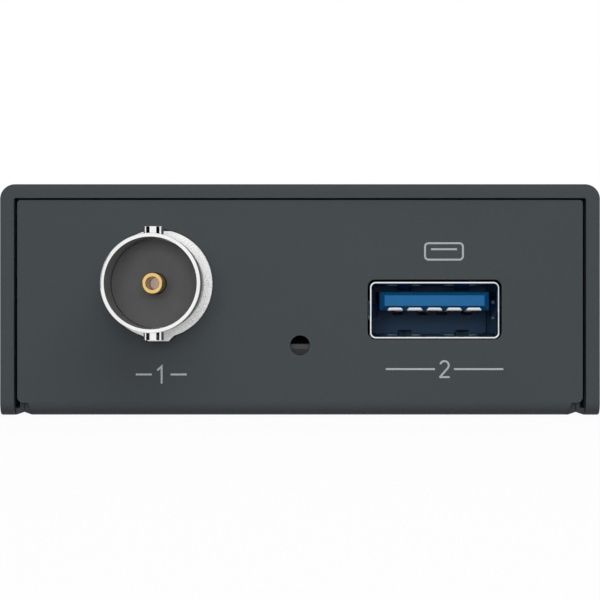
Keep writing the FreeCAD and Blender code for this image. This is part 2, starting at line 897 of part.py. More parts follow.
def usb_a_legs(extra):
    """Two legs of the shell on each side that pass through the board."""
    legs = []
    half_outer = usb_a_width / 2
    low = leg_bottom_z if extra == 0 else board_bottom_z
    high = usb_a_z if extra == 0 else board_top_z
    for share in (0.25, 0.7):
        y = usb_a_front_y + share * usb_a_length
        for side in (-1, 1):
            x = usb_a_x + side * (half_outer - usb_a_wall / 2)
            width = usb_a_wall + 2 * extra
            legs.append(block_on(low, x, y, width, finger_width + 2 * extra, high - low))
    return legs


def make_usb_a_shell():
    corner = usb_a_corner_radius
    outer = bar_y(
        rectangle(usb_a_x, usb_a_z, usb_a_width, usb_a_height, corner), usb_a_front_y, usb_a_rear_y
    )
    inner_width = usb_a_width - 2 * usb_a_wall
    inner_height = usb_a_height - 2 * usb_a_wall
    inner_corner = max(corner - usb_a_wall, usb_a_wall / 4)
    hollow = bar_y(
        rectangle(usb_a_x, usb_a_z, inner_width, inner_height, inner_corner),
        usb_a_front_y,
        usb_a_rear_y - usb_a_wall,
    )
    foot_half = tongue_width / 2 + usb_a_foot_gap
    foot_space = box(
        usb_a_x - foot_half,
        usb_a_x + foot_half,
        usb_a_back_wall_y,
        usb_a_rear_y - usb_a_wall,
        usb_a_low_z - fit_gap,
        usb_a_low_z + 2 * usb_a_wall,
    )
    tools = [hollow, foot_space]
    fingers = []
    slot = finger_width + 2 * finger_slot_gap
    slot_start = usb_a_front_y + finger_tip_from_front - finger_slot_gap
    slot_end = slot_start + finger_slot_gap + finger_length
    for side_z in (-1, 1):
        wall_z = usb_a_z + side_z * (usb_a_height / 2 - usb_a_wall / 2)
        path = [(y, wall_z + z) for y, z in finger_section(-side_z)]
        for side_x in (-1, 1):
            x = usb_a_x + side_x * finger_spread
            low = wall_z - usb_a_wall
            high = wall_z + usb_a_wall
            half_window = finger_width / 2 + finger_side_gap
            tools.append(box(x - half_window, x + half_window, slot_start, slot_end, low, high))
            section = strip_section(path, usb_a_wall)
            fingers.append(bar_x(section, x - finger_width / 2, x + finger_width / 2))
    for side_x in (-1, 1):
        wall = usb_a_x + side_x * (usb_a_width / 2 - usb_a_wall / 2)
        path = [(wall + x, y) for y, x in finger_section(-side_x)]
        low = usb_a_z - slot / 2
        high = usb_a_z + slot / 2
        tools.append(box(wall - usb_a_wall, wall + usb_a_wall, slot_start, slot_end, low, high))
        section = strip_section(path, usb_a_wall)
        fingers.append(plate_z(section, usb_a_z - finger_width / 2, usb_a_z + finger_width / 2))
    shell = outer.cut(tools)
    keeper = bar_y(
        rectangle(usb_a_x, usb_a_z, usb_a_width, usb_a_height, corner), usb_a_front_y, usb_a_rear_y
    )
    legs = [leg.cut(hollow) for leg in usb_a_legs(0)]
    return fuse_all([shell] + [finger.common(keeper) for finger in fingers] + legs)


def fast_contact_places():
    return [usb_a_x + fast_contact_pitch * step for step in range(-2, 3)]


def slow_contact_places():
    spread = (-slow_contact_outer, -slow_contact_inner, slow_contact_inner, slow_contact_outer)
    return [usb_a_x + x for x in spread]


def contact_with_tail(path, x, width):
    """A contact whose last stretch, down through the board, is narrower."""
    wide = bar_x(strip_section(path[:-1], contact_thickness), x - width / 2, x + width / 2)
    half_tail = contact_tail_width / 2
    tail = bar_x(strip_section(path[-2:], contact_thickness), x - half_tail, x + half_tail)
    return fuse_all([wide, tail])


def make_usb_a_contacts():
    under = tongue_low_z - contact_proud + contact_thickness / 2
    inside = tongue_low_z + tongue_thickness / 2
    bevel_end = tongue_front_y + tongue_bevel_length
    fast_path = [
        (tongue_front_y + 0.1 * tongue_bevel_length, under + 0.9 * tongue_low_bevel),
        (bevel_end, under),
        (bevel_end + fast_pad_length, under),
        (bevel_end + fast_pad_length + fast_pad_rise_length, inside),
        (fast_tail_y, inside),
        (fast_tail_y, leg_bottom_z),
    ]
    crest_y = tongue_front_y + slow_crest_from_front
    slow_path = [
        (crest_y - slow_tip_length, under - slow_tip_drop),
        (crest_y, under - slow_crest_drop),
        (crest_y + slow_arm_length, under),
        (slow_tail_y, under),
        (slow_tail_y, leg_bottom_z),
    ]
    contacts = [contact_with_tail(fast_path, x, fast_contact_width) for x in fast_contact_places()]
    contacts += [contact_with_tail(slow_path, x, slow_contact_width) for x in slow_contact_places()]
    return contacts


def make_usb_a_housing(contacts):
    left = usb_a_x - tongue_width / 2
    right = usb_a_x + tongue_width / 2
    tongue = box(left, right, tongue_front_y, usb_a_back_wall_y + fit_gap, tongue_low_z, tongue_top_z)
    front = tongue_front_y
    bevel_end = front + tongue_bevel_length
    outside = front - tongue_bevel_length
    beyond = tongue_thickness
    wedges = [
        bar_x(
            [
                (front, tongue_top_z - tongue_top_bevel, 0),
                (bevel_end, tongue_top_z, 0),
                (outside, tongue_top_z + beyond, 0),
            ],
            left,
            right,
        ),
        bar_x(
            [
                (front, tongue_low_z + tongue_low_bevel, 0),
                (bevel_end, tongue_low_z, 0),
                (outside, tongue_low_z - beyond, 0),
            ],
            left,
            right,
        ),
    ]
    for side in (-1, 1):
        edge = usb_a_x + side * tongue_width / 2
        corners = [
            (edge - side * tongue_side_bevel, front, 0),
            (edge, bevel_end, 0),
            (edge + side * beyond, outside, 0),
        ]
        wedges.append(plate_z(corners, tongue_low_z, tongue_top_z))
    tongue = tongue.cut(wedges)
    inner_width = usb_a_width - 2 * usb_a_wall - 2 * fit_gap
    inner_height = usb_a_height - 2 * usb_a_wall - 2 * fit_gap
    body = bar_y(
        rectangle(usb_a_x, usb_a_z, inner_width, inner_height, usb_a_wall),
        usb_a_back_wall_y,
        usb_a_rear_y - usb_a_wall,
    )
    foot = box(
        left,
        right,
        usb_a_back_wall_y + fit_gap,
        usb_a_rear_y - usb_a_wall,
        board_top_z,
        usb_a_z,
    )
    return cut_all(fuse_all([tongue, body, foot]), contacts)


def make_usb_a_riser():
    half = riser_width / 2
    front = -board_half_length + fit_gap
    rear = usb_a_back_wall_y - usb_a_foot_gap
    return box(usb_a_x - half, usb_a_x + half, front, rear, board_top_z, usb_a_low_z)


def plunger_section(extra):
    height = plunger_height + 2 * extra
    return rectangle(0, plunger_middle_z, plunger_width + 2 * extra, height, 0)


def make_reset_plunger():
    nose_y = switch_front_y - plunger_nose
    face_low_z = plunger_top_z - plunger_face_height
    half = plunger_width / 2
    nose = bar_x(
        [
            (nose_y, plunger_top_z, 0),
            (nose_y, face_low_z, 0),
            (nose_y + plunger_slope, plunger_low_z, 0),
            (flange_rear_y, plunger_low_z, 0),
            (flange_rear_y, plunger_top_z, 0),
        ],
        -half,
        half,
    )
    flange = bar_y(plunger_section(plunger_flange), flange_front_y, flange_rear_y)
    return fuse_all([nose, flange])


def make_reset_switch_body():
    low = board_top_z - switch_below_board_top
    high = board_top_z + switch_above_board_top
    half = switch_width / 2
    body = box(-half, half, switch_front_y, switch_rear_y, low, high)
    lugs = block_on(
        board_top_z,
        0,
        (switch_front_y + switch_rear_y) / 2,
        switch_width + 2 * switch_lug,
        switch_depth / 2,
        switch_lug_thickness,
    )
    cavity = bar_y(
        plunger_section(plunger_flange + plunger_gap), switch_cavity_y, dome_y + dome_thickness
    )
    window = bar_y(plunger_section(plunger_gap), switch_front_y, switch_cavity_y + fit_gap)
    return cut_all(fuse_all([body, lugs]), [cavity, window])


def make_reset_dome():
    radius = plunger_height / 2
    return rod_y(0, plunger_middle_z, radius, dome_y, dome_y + dome_thickness)


def rj45_opening(extra):
    """The mouth and hollow for the plug, with its stepped channel for the latch."""
    main = plug_width / 2 + extra
    latch = latch_width / 2 + extra
    step = latch_step_width / 2 + extra
    low = plug_low_z - extra
    top = latch_top_z + latch_step_height + extra
    right = [
        (main, low, 0),
        (main, plug_top_z + extra, 0),
        (latch, plug_top_z + extra, 0),
        (latch, latch_top_z + extra, 0),
        (step, latch_top_z + extra, 0),
        (step, top, 0),
    ]
    outline = right + [(-x, z, radius) for x, z, radius in right[::-1]]
    return [(rj45_x + x, z, radius) for x, z, radius in outline]


def rj45_legs(extra):
    legs = []
    low = leg_bottom_z if extra == 0 else board_bottom_z
    high = plug_low_z if extra == 0 else board_top_z
    y = rj45_front_y + rj45_length / 2
    for side in (-1, 1):
        x = rj45_x + side * (rj45_width / 2 - rj45_sheet / 2)
        width = rj45_sheet + 2 * extra
        legs.append(block_on(low, x, y, width, finger_width + 2 * extra, high - low))
    return legs


def lens_section(side, extra):
    width = lens_width + 2 * extra
    return rectangle(rj45_x + side * lens_x, lens_z, width, lens_height + 2 * extra, 0)


def make_rj45_shell():
    half = rj45_width / 2
    outer = box(rj45_x - half, rj45_x + half, rj45_front_y, rj45_rear_y, board_top_z, rj45_top_z)
    hollow = box(
        rj45_x - half + rj45_sheet,
        rj45_x + half - rj45_sheet,
        rj45_front_y + rj45_sheet,
        rj45_rear_y - rj45_sheet,
        board_top_z,
        rj45_top_z - rj45_sheet,
    )
    tools = [hollow, bar_y(rj45_opening(fit_gap), plug_end_y, rj45_rear_y)]
    for side in (-1, 1):
        tools.append(bar_y(lens_section(side, fit_gap), plug_end_y, rj45_rear_y))
    return fuse_all([outer.cut(tools)] + rj45_legs(0))


def rj45_contact_places():
    return [rj45_x + rj45_contact_pitch * (step - 3.5) for step in range(8)]


def rj45_tail_y():
    return rj45_front_y + rj45_tail_from_front


def make_rj45_contacts():
    """Eight wires that run under the plug's floor, turn up and slope back into the hollow."""
    tail_y = rj45_tail_y()
    run_z = board_top_z + plug_above_board / 2
    turn_y = rj45_rear_y - rj45_turn_from_rear
    path = [
        (tail_y, leg_bottom_z),
        (tail_y, run_z),
        (turn_y, run_z),
        (turn_y, plug_low_z + rj45_turn_rise),
        (turn_y - rj45_wire_length, plug_low_z + rj45_wire_rise),
    ]
    section = strip_section(path, rj45_contact_thickness)
    half = rj45_contact_width / 2
    return [bar_x(section, x - half, x + half) for x in rj45_contact_places()]


def make_rj45_insert(contacts):
    gap = rj45_sheet + rj45_fit
    half = rj45_width / 2 - gap
    body = box(
        rj45_x - half,
        rj45_x + half,
        rj45_front_y + gap,
        rj45_rear_y - rj45_sheet,
        board_top_z,
        rj45_top_z - gap,
    )
    tools = [bar_y(rj45_opening(0), plug_end_y, rj45_rear_y)]
    for side in (-1, 1):
        tools.append(bar_y(lens_section(side, fit_gap), rj45_rear_y - lens_length, rj45_rear_y))
    return cut_all(body, tools + contacts)


def make_rj45_lenses():
    front = rj45_rear_y - lens_length
    return [bar_y(lens_section(side, 0), front, rj45_rear_y) for side in (-1, 1)]


def make_usb_c_shell():
    outer = bar_y(
        rectangle(usb_c_x, usb_c_z, usb_c_width, usb_c_height, usb_c_corner),
        usb_c_front_y,
        usb_c_rear_y,
    )
    inner_width = usb_c_width - 2 * usb_c_wall
    inner_height = usb_c_height - 2 * usb_c_wall
    inner_corner = usb_c_corner - usb_c_wall
    hollow = bar_y(
        rectangle(usb_c_x, usb_c_z, inner_width, inner_height, inner_corner),
        usb_c_front_y,
        usb_c_rear_y,
    )
    return cut_all(outer, [hollow])


def make_usb_c_contacts():
    """Two rows of twelve strips that lie in the tongue's faces and end on the board."""
    tip = usb_c_rear_y - usb_c_tongue_recess - 0.9
    reach = usb_c_tongue_thickness / 2 - usb_c_contact_thickness / 2
    contacts = []
    half = usb_c_contact_width / 2
    pad_z = board_top_z + usb_c_contact_thickness / 2
    for side, drop_y in ((1, usb_c_front_y - 1.0), (-1, usb_c_front_y - 0.4)):
        path = [
            (tip, usb_c_z + side * reach),
            (drop_y, usb_c_z + side * reach),
            (drop_y, pad_z),
            (drop_y - 0.3, pad_z),
        ]
        section = strip_section(path, usb_c_contact_thickness)
        for step in range(12):
            x = usb_c_x + usb_c_contact_pitch * (step - 5.5)
            contacts.append(bar_x(section, x - half, x + half))
    return contacts


def make_usb_c_insert(contacts):
    inner_width = usb_c_width - 2 * usb_c_wall - 2 * fit_gap
    inner_height = usb_c_height - 2 * usb_c_wall - 2 * fit_gap
    body = bar_y(
        rectangle(usb_c_x, usb_c_z, inner_width, inner_height, usb_c_corner - usb_c_wall - fit_gap),
        usb_c_front_y,
        usb_c_back_wall_y,
    )
    tongue = bar_y(
        rectangle(usb_c_x, usb_c_z, usb_c_tongue_width, usb_c_tongue_thickness, 0),
        usb_c_front_y + fit_gap,
        usb_c_rear_y - usb_c_tongue_recess,
    )
    return cut_all(fuse_all([body, tongue]), contacts)


def light_places():
    return [light_first_x, light_first_x + light_pitch]


def make_light_pipes():
    pipes = []
    foot_rear = panel_back_y - fit_gap
    foot_front = foot_rear - light_pipe_foot
    for x in light_places():
        pipe = rod_y(x, light_z, light_pipe_radius, foot_front, panel_y + light_pipe_proud)
        foot = box(
            x - light_pipe_radius,
            x + light_pipe_radius,
            foot_front,
            foot_rear - board_end_gap,
            board_top_z,
            light_z,
        )
        pipes.append(fuse_all([pipe, foot]))
    return pipes


def make_status_leds():
    width = 2 * light_pipe_radius
    y = panel_back_y - light_pipe_foot - chip_gap / 2 - status_led_length / 2
    return [
        block_on(board_top_z, x, y, width, status_led_length, status_led_height)
        for x in light_places()
    ]


def make_reset_parts():
    return {
        "reset_plunger": make_reset_plunger(),
        "reset_switch_body": make_reset_switch_body(),
        "reset_dome": make_reset_dome(),
    }


def make_chips():
    """The chips and loose components, each standing on the board's top face."""
    level = board_top_z
    size = processor_size
    front_y = spreader_front + flash_length / 2 + chip_gap
    shield_y = bnc_block_y + bnc_block_depth + chip_gap + shield_length / 2
    video_y = shield_y
    near_rj45 = rj45_front_y - chip_gap
    inductor_x = rj45_x + rj45_width / 2 + 2 * chip_gap + transformer_width + inductor_size / 2
    transformer_x = rj45_x + rj45_width / 2 + chip_gap + transformer_width / 2
    transformer_y = usb_c_front_y - 3 * chip_gap - transformer_length / 2
    lid = block_on(level, bnc_x, shield_y, shield_width, shield_length, shield_height)
    under_lid = block_on(
        level,
        bnc_x,
        shield_y,
        shield_width - 2 * shield_sheet,
        shield_length - 2 * shield_sheet,
        shield_height - shield_sheet,
    )
    side_y = processor_y - processor_size / 2
    cap_step = 2 * capacitor_radius + chip_gap
    passive_y = spreader_front - chip_gap - passive_length
    first_passive = -passive_pitch * (passive_count - 1) / 2
    power_y = side_y - 2 * cap_step
    return {
        "processor": block_on(level, 0, processor_y, size, size, processor_height),
        "memory_chips": [
            block_on(level, side * memory_x, processor_y, memory_width, memory_length, memory_height)
            for side in (-1, 1)
        ],
        "flash_chip": block_on(level, memory_x, front_y, flash_width, flash_length, flash_height),
        "network_chip": block_on(
            level,
            -side_part_x,
            near_rj45 - network_chip_size - 2 * board_screw_head_radius - standoff_radius,
            network_chip_size,
            network_chip_size,
            small_chip_height,
        ),
        "video_driver_chip": block_on(
            level, bnc_x, video_y, video_chip_size, video_chip_size, small_chip_height
        ),
        "shield_can": lid.cut(under_lid),
        "power_chips": [
            block_on(level, side_part_x, y, power_chip_size, power_chip_size, small_chip_height)
            for y in (power_y, power_y - power_chip_size - chip_gap)
        ],
        "power_inductors": [
            block_on(level, x, transformer_y, inductor_size, inductor_size, inductor_height)
            for x in (inductor_x, inductor_x + inductor_size + chip_gap)
        ],
        "bulk_capacitors": [
            rod_z(side_part_x, y, capacitor_radius, level, level + capacitor_height)
            for y in (side_y, side_y - cap_step)
        ],
        "isolation_transformer": block_on(
            level,
            transformer_x,
            transformer_y,
            transformer_width,
            transformer_length,
            transformer_height,
        ),
        "crystals": [
            block_on(level, -side_part_x, y, crystal_width, crystal_length, crystal_height)
            for y in (side_y - chip_gap, side_y - chip_gap - 2 * crystal_length)
        ],
        "chip_passives": [
            block_on(
                level,
                first_passive + passive_pitch * step,
                passive_y,
                passive_width,
                passive_length,
                passive_height,
            )
            for step in range(passive_count)
        ],
    }


def pin_places():
    """The two places of the heat spreader's pins, at opposite corners."""
    x = spreader_width / 2 - pin_inset
    return [(-x, spreader_front + pin_inset), (x, spreader_rear - pin_inset)]


def make_heat_parts():
    half = spreader_width / 2
    length = spreader_rear - spreader_front
    low = spreader_low_z
    base_top = spreader_base_top_z
    pieces = [box(-half, half, spreader_front, spreader_rear, low, base_top)]
    half_core = spreader_core_width / 2
    pieces.append(
        block_on(base_top, 0, processor_y, spreader_core_width, top_pad_length, spreader_top_z - base_top)
    )
    fin_count = int((half - pin_inset * 2 - half_core) / spreader_fin_pitch)
    for step in range(fin_count):
        for side in (-1, 1):
            x = side * (half_core + spreader_fin_pitch * (step + 1) - spreader_fin_width / 2)
            fin_height = ceiling_z - spreader_fin_headroom - base_top
            middle = spreader_middle_y
            pieces.append(block_on(base_top, x, middle, spreader_fin_width, length, fin_height))
    pins = []
    holes = []
    for x, y in pin_places():
        holes.append(rod_z(x, y, pin_radius + pin_hole_gap, low, base_top))
        barb = Part.makeCone(
            pin_radius,
            pin_radius + 3 * pin_hole_gap,
            pin_barb_height,
            Vector(x, y, board_bottom_z - pin_barb_height),
        )
        pins.append(
            fuse_all(
                [
                    barb,
                    rod_z(x, y, pin_radius, board_bottom_z - fit_gap, base_top + fit_gap),
                    rod_z(x, y, pin_head_radius, base_top, base_top + pin_head_height),
                ]
            )
        )
    chip_pad = block_on(
        board_top_z + processor_height, 0, processor_y, processor_size, processor_size, chip_pad_thickness
    )
    low_pad = block_on(tray_sheet, 0, processor_y, processor_size, processor_size, standoff_height)
    top_pad = block_on(
        spreader_top_z, 0, processor_y, spreader_core_width, top_pad_length, top_pad_thickness
    )
    return {
        "heat_spreader": cut_all(fuse_all(pieces), holes),
        "heat_spreader_pins": pins,
        "thermal_pad_chip": chip_pad,
        "thermal_pad_lower": low_pad,
        "thermal_pad_top": top_pad,
    }


def make_case_parts():
    return {
        "top_cover": make_top_cover(),
        "base_tray": make_base_tray(),
        "tripod_nut": make_tripod_nut(),
        "cover_screws": make_cover_screws(),
        "board_standoffs": make_board_standoffs(),
        "board_screws": make_board_screws(),
        "insulating_film": make_insulating_film(),
        "main_board": make_main_board(),
    }


def make_front_parts():
    usb_a_contacts = make_usb_a_contacts()
    return {
        "bnc_shell": make_bnc_shell(),
        "bnc_block": make_bnc_block(),
        "bnc_insulator": make_bnc_insulator(),
        "bnc_contact": make_bnc_contact(),
        "usb_a_shell": make_usb_a_shell(),
        "usb_a_housing": make_usb_a_housing(usb_a_contacts),
        "usb_a_contacts": usb_a_contacts,
        "usb_a_riser": make_usb_a_riser(),
    }


def make_rear_parts():
    rj45_contacts = make_rj45_contacts()
    usb_c_contacts = make_usb_c_contacts()
    return {
        "rj45_shell": make_rj45_shell(),
        "rj45_insert": make_rj45_insert(rj45_contacts),
        "rj45_contacts": rj45_contacts,
        "rj45_lenses": make_rj45_lenses(),
        "usb_c_shell": make_usb_c_shell(),
        "usb_c_insert": make_usb_c_insert(usb_c_contacts),
        "usb_c_contacts": usb_c_contacts,
        "light_pipes": make_light_pipes(),
        "status_leds": make_status_leds(),
    }


def write_parts(parts):
    os.makedirs("parts", exist_ok=True)
    for name, shape in parts.items():
        if isinstance(shape, list):
            shape = Part.makeCompound(shape)
        shape.exportStep(os.path.join("parts", name + ".step"))
        print(name, len(shape.Solids), round(shape.Volume, 2), shape.isValid())


write_parts(make_case_parts())
write_parts(make_front_parts())
write_parts(make_reset_parts())
write_parts(make_rear_parts())
write_parts(make_chips())
write_parts(make_heat_parts())
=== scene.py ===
"""The looks of a pocket video decoder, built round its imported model.

Sizes in the classes are millimetres, as in the part's source, and turn into
metres where a mesh is made. X runs to the right seen from the front, Y to the
back and Z up.
"""

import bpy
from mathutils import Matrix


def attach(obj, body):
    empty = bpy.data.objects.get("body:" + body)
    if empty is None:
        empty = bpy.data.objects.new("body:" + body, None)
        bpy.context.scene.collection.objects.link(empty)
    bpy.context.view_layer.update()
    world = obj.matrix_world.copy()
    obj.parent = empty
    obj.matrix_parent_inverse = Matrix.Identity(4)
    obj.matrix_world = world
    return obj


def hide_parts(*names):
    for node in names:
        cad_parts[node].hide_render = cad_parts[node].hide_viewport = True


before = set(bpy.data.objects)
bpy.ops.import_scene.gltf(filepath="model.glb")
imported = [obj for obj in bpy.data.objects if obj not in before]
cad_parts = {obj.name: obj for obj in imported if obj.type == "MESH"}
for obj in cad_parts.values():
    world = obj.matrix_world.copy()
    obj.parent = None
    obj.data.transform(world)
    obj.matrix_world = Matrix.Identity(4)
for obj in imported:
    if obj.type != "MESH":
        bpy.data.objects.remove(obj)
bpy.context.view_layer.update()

import logging
import math
from collections.abc import Iterable, Mapping, Sequence
from dataclasses import dataclass
from enum import Enum

import bmesh
import bpy
from mathutils import Vector

# A place in space, a pair of numbers in a plane, and a linear colour.
Point = tuple[float, float, float]
Flat = tuple[float, float]
Colour = tuple[float, float, float]

# The body that every new piece rides on.
HOUSING = "housing"

MM = 0.001
WHITE = (1.0, 1.0, 1.0)
EVEN = (1.0, 1.0, 1.0)

# A wave texture's period at scale 1, in metres.
WAVE_PERIOD = 0.314

# For cleaning and rounding meshes: distances in millimetres and angles in degrees.
JOIN_DISTANCE = 0.0005
WELD_DISTANCE = 0.0002
SHORTEST_EDGE = 0.0001
FLAT_ANGLE = 0.6
EDGE_ANGLE = 38.0
EDGE_SEGMENTS = 2
FACE_WEIGHT = 100

# The least cosine by which a strip's and an ink line's corners are mitred.
STRIP_MITRE = 0.5
INK_MITRE = 0.4

log = logging.getLogger("decoder")


class Operation(Enum):
    """What a Math or a Vector Math node does."""

    ADD = "ADD"
    SUBTRACT = "SUBTRACT"
    MULTIPLY = "MULTIPLY"
    GREATER_THAN = "GREATER_THAN"
    MAXIMUM = "MAXIMUM"
    LENGTH = "LENGTH"


class Axis(Enum):
    """The object's axes that finishes are laid along."""

    X = "X"
    Y = "Y"


def srgb(red: float, green: float, blue: float) -> Colour:
    """Turn display values into a linear colour.

    Args:
        red, green, blue: display values from 0 to 255.

    Returns:
        The linear colour.
    """
    def linear(value: float) -> float:
        """One channel's linear value."""
        share = value / 255
        return share / 12.92 if share <= 0.04045 else ((share + 0.055) / 1.055) ** 2.4

    return linear(red), linear(green), linear(blue)


def tinted(colour: Colour, level: float) -> Colour:
    """A colour that is level times as bright."""
    return tuple(channel * level for channel in colour)


def round_points(centre: Flat, radius: float, steps: int) -> list[Flat]:
    """Points evenly round a circle, with its centre and radius in any one unit."""
    angles = [2 * math.pi * step / steps for step in range(steps)]
    return [(centre[0] + radius * math.cos(a), centre[1] + radius * math.sin(a)) for a in angles]


class Shade:
    """A value or colour in a node sheet, with arithmetic that adds Math nodes."""

    def __init__(self, sheet: "NodeSheet", socket: bpy.types.NodeSocket) -> None:
        """Wrap one output socket of the sheet."""
        self.sheet = sheet
        self.socket = socket

    def _math(self, operation: Operation, *values: "Shade | float") -> "Shade":
        """Add one Math node.

        Args:
            operation: what it does.
            values: its inputs, in order.

        Returns:
            The node's result.
        """
        settings = {"operation": operation.value}
        return self.sheet.value("ShaderNodeMath", settings, dict(enumerate(values)))

    def __add__(self, other: "Shade | float") -> "Shade":
        """This value plus another."""
        return self._math(Operation.ADD, self, other)

    __radd__ = __add__

    def __sub__(self, other: "Shade | float") -> "Shade":
        """This value less another."""
        return self._math(Operation.SUBTRACT, self, other)

    def __rsub__(self, other: float) -> "Shade":
        """A number less this value."""
        return self._math(Operation.SUBTRACT, other, self)

    def __mul__(self, other: "Shade | float") -> "Shade":
        """This value times another."""
        return self._math(Operation.MULTIPLY, self, other)

    __rmul__ = __mul__

    def above(self, limit: float) -> "Shade":
        """1 where the value is above the limit, and 0 elsewhere."""
        return self._math(Operation.GREATER_THAN, self, limit)

    def larger(self, other: "Shade | float") -> "Shade":
        """The larger of two values."""
        return self._math(Operation.MAXIMUM, self, other)


# What a node's input takes: another node's output, a number or several.
Entry = Shade | float | Sequence[float]


class NodeSheet:
    """The nodes of one material or world."""

    def __init__(self, tree: bpy.types.NodeTree) -> None:
        """Start with an empty tree."""
        self.tree = tree
        self.tree.nodes.clear()

    def node(
        self,
        kind: str,
        settings: Mapping[str, object],
        sockets: Mapping[int | str, Entry],
    ) -> bpy.types.Node:
        """Add a node.

        Args:
            kind: the node's type.
            settings: its properties, set first. "stops" are a ramp's places and colours.
            sockets: a value or a link for each input.

        Returns:
            The node.
        """
        made = self.tree.nodes.new(kind)
        for name, setting in settings.items():
            if name == "stops":
                self._set_stops(made.color_ramp, setting)
            else:
                setattr(made, name, setting)
        for name, entry in sockets.items():
            if isinstance(entry, Shade):
                self.tree.links.new(entry.socket, made.inputs[name])
            else:
                made.inputs[name].default_value = entry
        return made

    @staticmethod
    def _set_stops(ramp: bpy.types.ColorRamp, stops: Sequence[tuple[float, Colour]]) -> None:
        """Give a ramp its stops, each a place and a linear colour.

        Args:
            ramp: the ramp.
            stops: its stops, in order.
        """
        while len(ramp.elements) < len(stops):
            ramp.elements.new(1.0)
        for element, (place, colour) in zip(ramp.elements, stops):
            element.position = place
            element.color = (*colour, 1.0)

    def value(
        self,
        kind: str,
        settings: Mapping[str, object],
        sockets: Mapping[int | str, Entry],
        output: int | str = 0,
    ) -> Shade:
        """Add a node and wrap one of its outputs, whose index or name is given."""
        return Shade(self, self.node(kind, settings, sockets).outputs[output])

    def place(self, stretch: Point = EVEN) -> Shade:
        """The place on the piece in metres, times a stretch for each axis."""
        spot = self.value("ShaderNodeTexCoord", {}, {}, "Object")
        return spot if stretch == EVEN else self.vector(Operation.MULTIPLY, spot, stretch)

    def vector(
        self, operation: Operation, first: Shade, second: Point = (0.0, 0.0, 0.0), output: str = "Vector"
    ) -> Shade:
        """Add a Vector Math node for two vectors and wrap the output that is named."""
        settings = {"operation": operation.value}
        return self.value("ShaderNodeVectorMath", settings, {0: first, 1: second}, output)

    def noise(self, size: float, detail: float = 2.0, stretch: Point = EVEN) -> Shade:
        """Add soft noise.

        Args:
            size: how large its spots are, in millimetres.
            detail: how many finer layers it has.
            stretch: how much finer it is along each axis.

        Returns:
            The noise, round 0.5.
        """
        sockets = {"Vector": self.place(stretch), "Scale": 1 / (size * MM), "Detail": detail}
        return self.value("ShaderNodeTexNoise", {}, sockets)

    def along(self, axis: Axis) -> Shade:
        """How far along an axis the place is, in metres."""
        return self.value("ShaderNodeSeparateXYZ", {}, {0: self.place()}, axis.value)

    def from_axis(self, axis: Flat) -> Shade:
        """How far the place is from an axis that runs from front to back.

        Args:
            axis: the axis's x and z in millimetres.

        Returns:
            The distance in metres.
        """
        middle = (axis[0] * MM, 0.0, axis[1] * MM)
        away = self.vector(Operation.SUBTRACT, self.place(), middle)
        aside = self.vector(Operation.MULTIPLY, away, (1.0, 0.0, 1.0))
        return self.vector(Operation.LENGTH, aside, output="Value")

    def cells(self, size: float) -> Shade:
        """The distance to the nearest of scattered points, in cells of that size."""
        sockets = {"Vector": self.place(), "Scale": 1 / (size * MM)}
        return self.value("ShaderNodeTexVoronoi", {}, sockets, "Distance")

    def ramp(self, factor: Shade, stops: Sequence[tuple[float, Colour]]) -> Shade:
        """A colour from a ramp, whose stops are places and linear colours."""
        return self.value("ShaderNodeValToRGB", {"stops": stops}, {"Fac": factor}, "Color")

    def mixed(self, factor: Shade, first: Shade | Colour, second: Shade | Colour) -> Shade:
        """The first colour where the factor is 0 and the second where it is 1.

        Args:
            factor: how much of the second colour there is.
            first, second: linear colours, the same all over or from other nodes.

        Returns:
            The mixed colour.
        """
        entries = {0: factor}
        for index, colour in ((6, first), (7, second)):
            entries[index] = colour if isinstance(colour, Shade) else (*colour, 1.0)
        return self.value("ShaderNodeMix", {"data_type": "RGBA"}, entries, 2)

    def bump(self, height: Shade, depth: float) -> Shade:
        """Roughen the surface.

        Args:
            height: the height from 0 to 1.
            depth: what a height of 1 is, in millimetres.

        Returns:
            The normal.
        """
        sockets = {"Height": height, "Distance": depth * MM, "Strength": 1.0}
        return self.value("ShaderNodeBump", {}, sockets, "Normal")


@dataclass(frozen=True)
class Zone:
    """A ring-shaped space round an axis that runs from front to back, in millimetres."""

    axis: Flat = (0.0, 0.0)
    inner_radius: float = -1.0
    outer_radius: float = 1000.0
    front_y: float = -1000.0
    back_y: float = 1000.0

    def mask(self, sheet: NodeSheet) -> Shade:
        """1 inside the space and 0 elsewhere.

        Args:
            sheet: the material's nodes.

        Returns:
            The mask.
        """
        radius = sheet.from_axis(self.axis)
        depth = sheet.along(Axis.Y)
        ring = radius.above(self.inner_radius * MM) * (1 - radius.above(self.outer_radius * MM))
        return ring * depth.above(self.front_y * MM) * (1 - depth.above(self.back_y * MM))


@dataclass(frozen=True)
class Finish:
    """A finish: its name, its linear colour and how rough it is."""

    name: str
    colour: Colour
    roughness: float

    def material(self) -> bpy.types.Material:
        """The finish's material, made when it is first used.

        Returns:
            The material.
        """
        found = bpy.data.materials.get(self.name)
        if found is not None:
            return found
        material = bpy.data.materials.new(self.name)
        material.use_nodes = True
        sheet = NodeSheet(material.node_tree)
        shader = sheet.node("ShaderNodeBsdfPrincipled", {}, self.sockets(sheet))
        sheet.node("ShaderNodeOutputMaterial", {}, {"Surface": Shade(sheet, shader.outputs[0])})
        return material

    def sockets(self, sheet: NodeSheet) -> dict[str, Entry]:
        """What the finish sets on its shader; each kind of finish has its own."""
        raise NotImplementedError


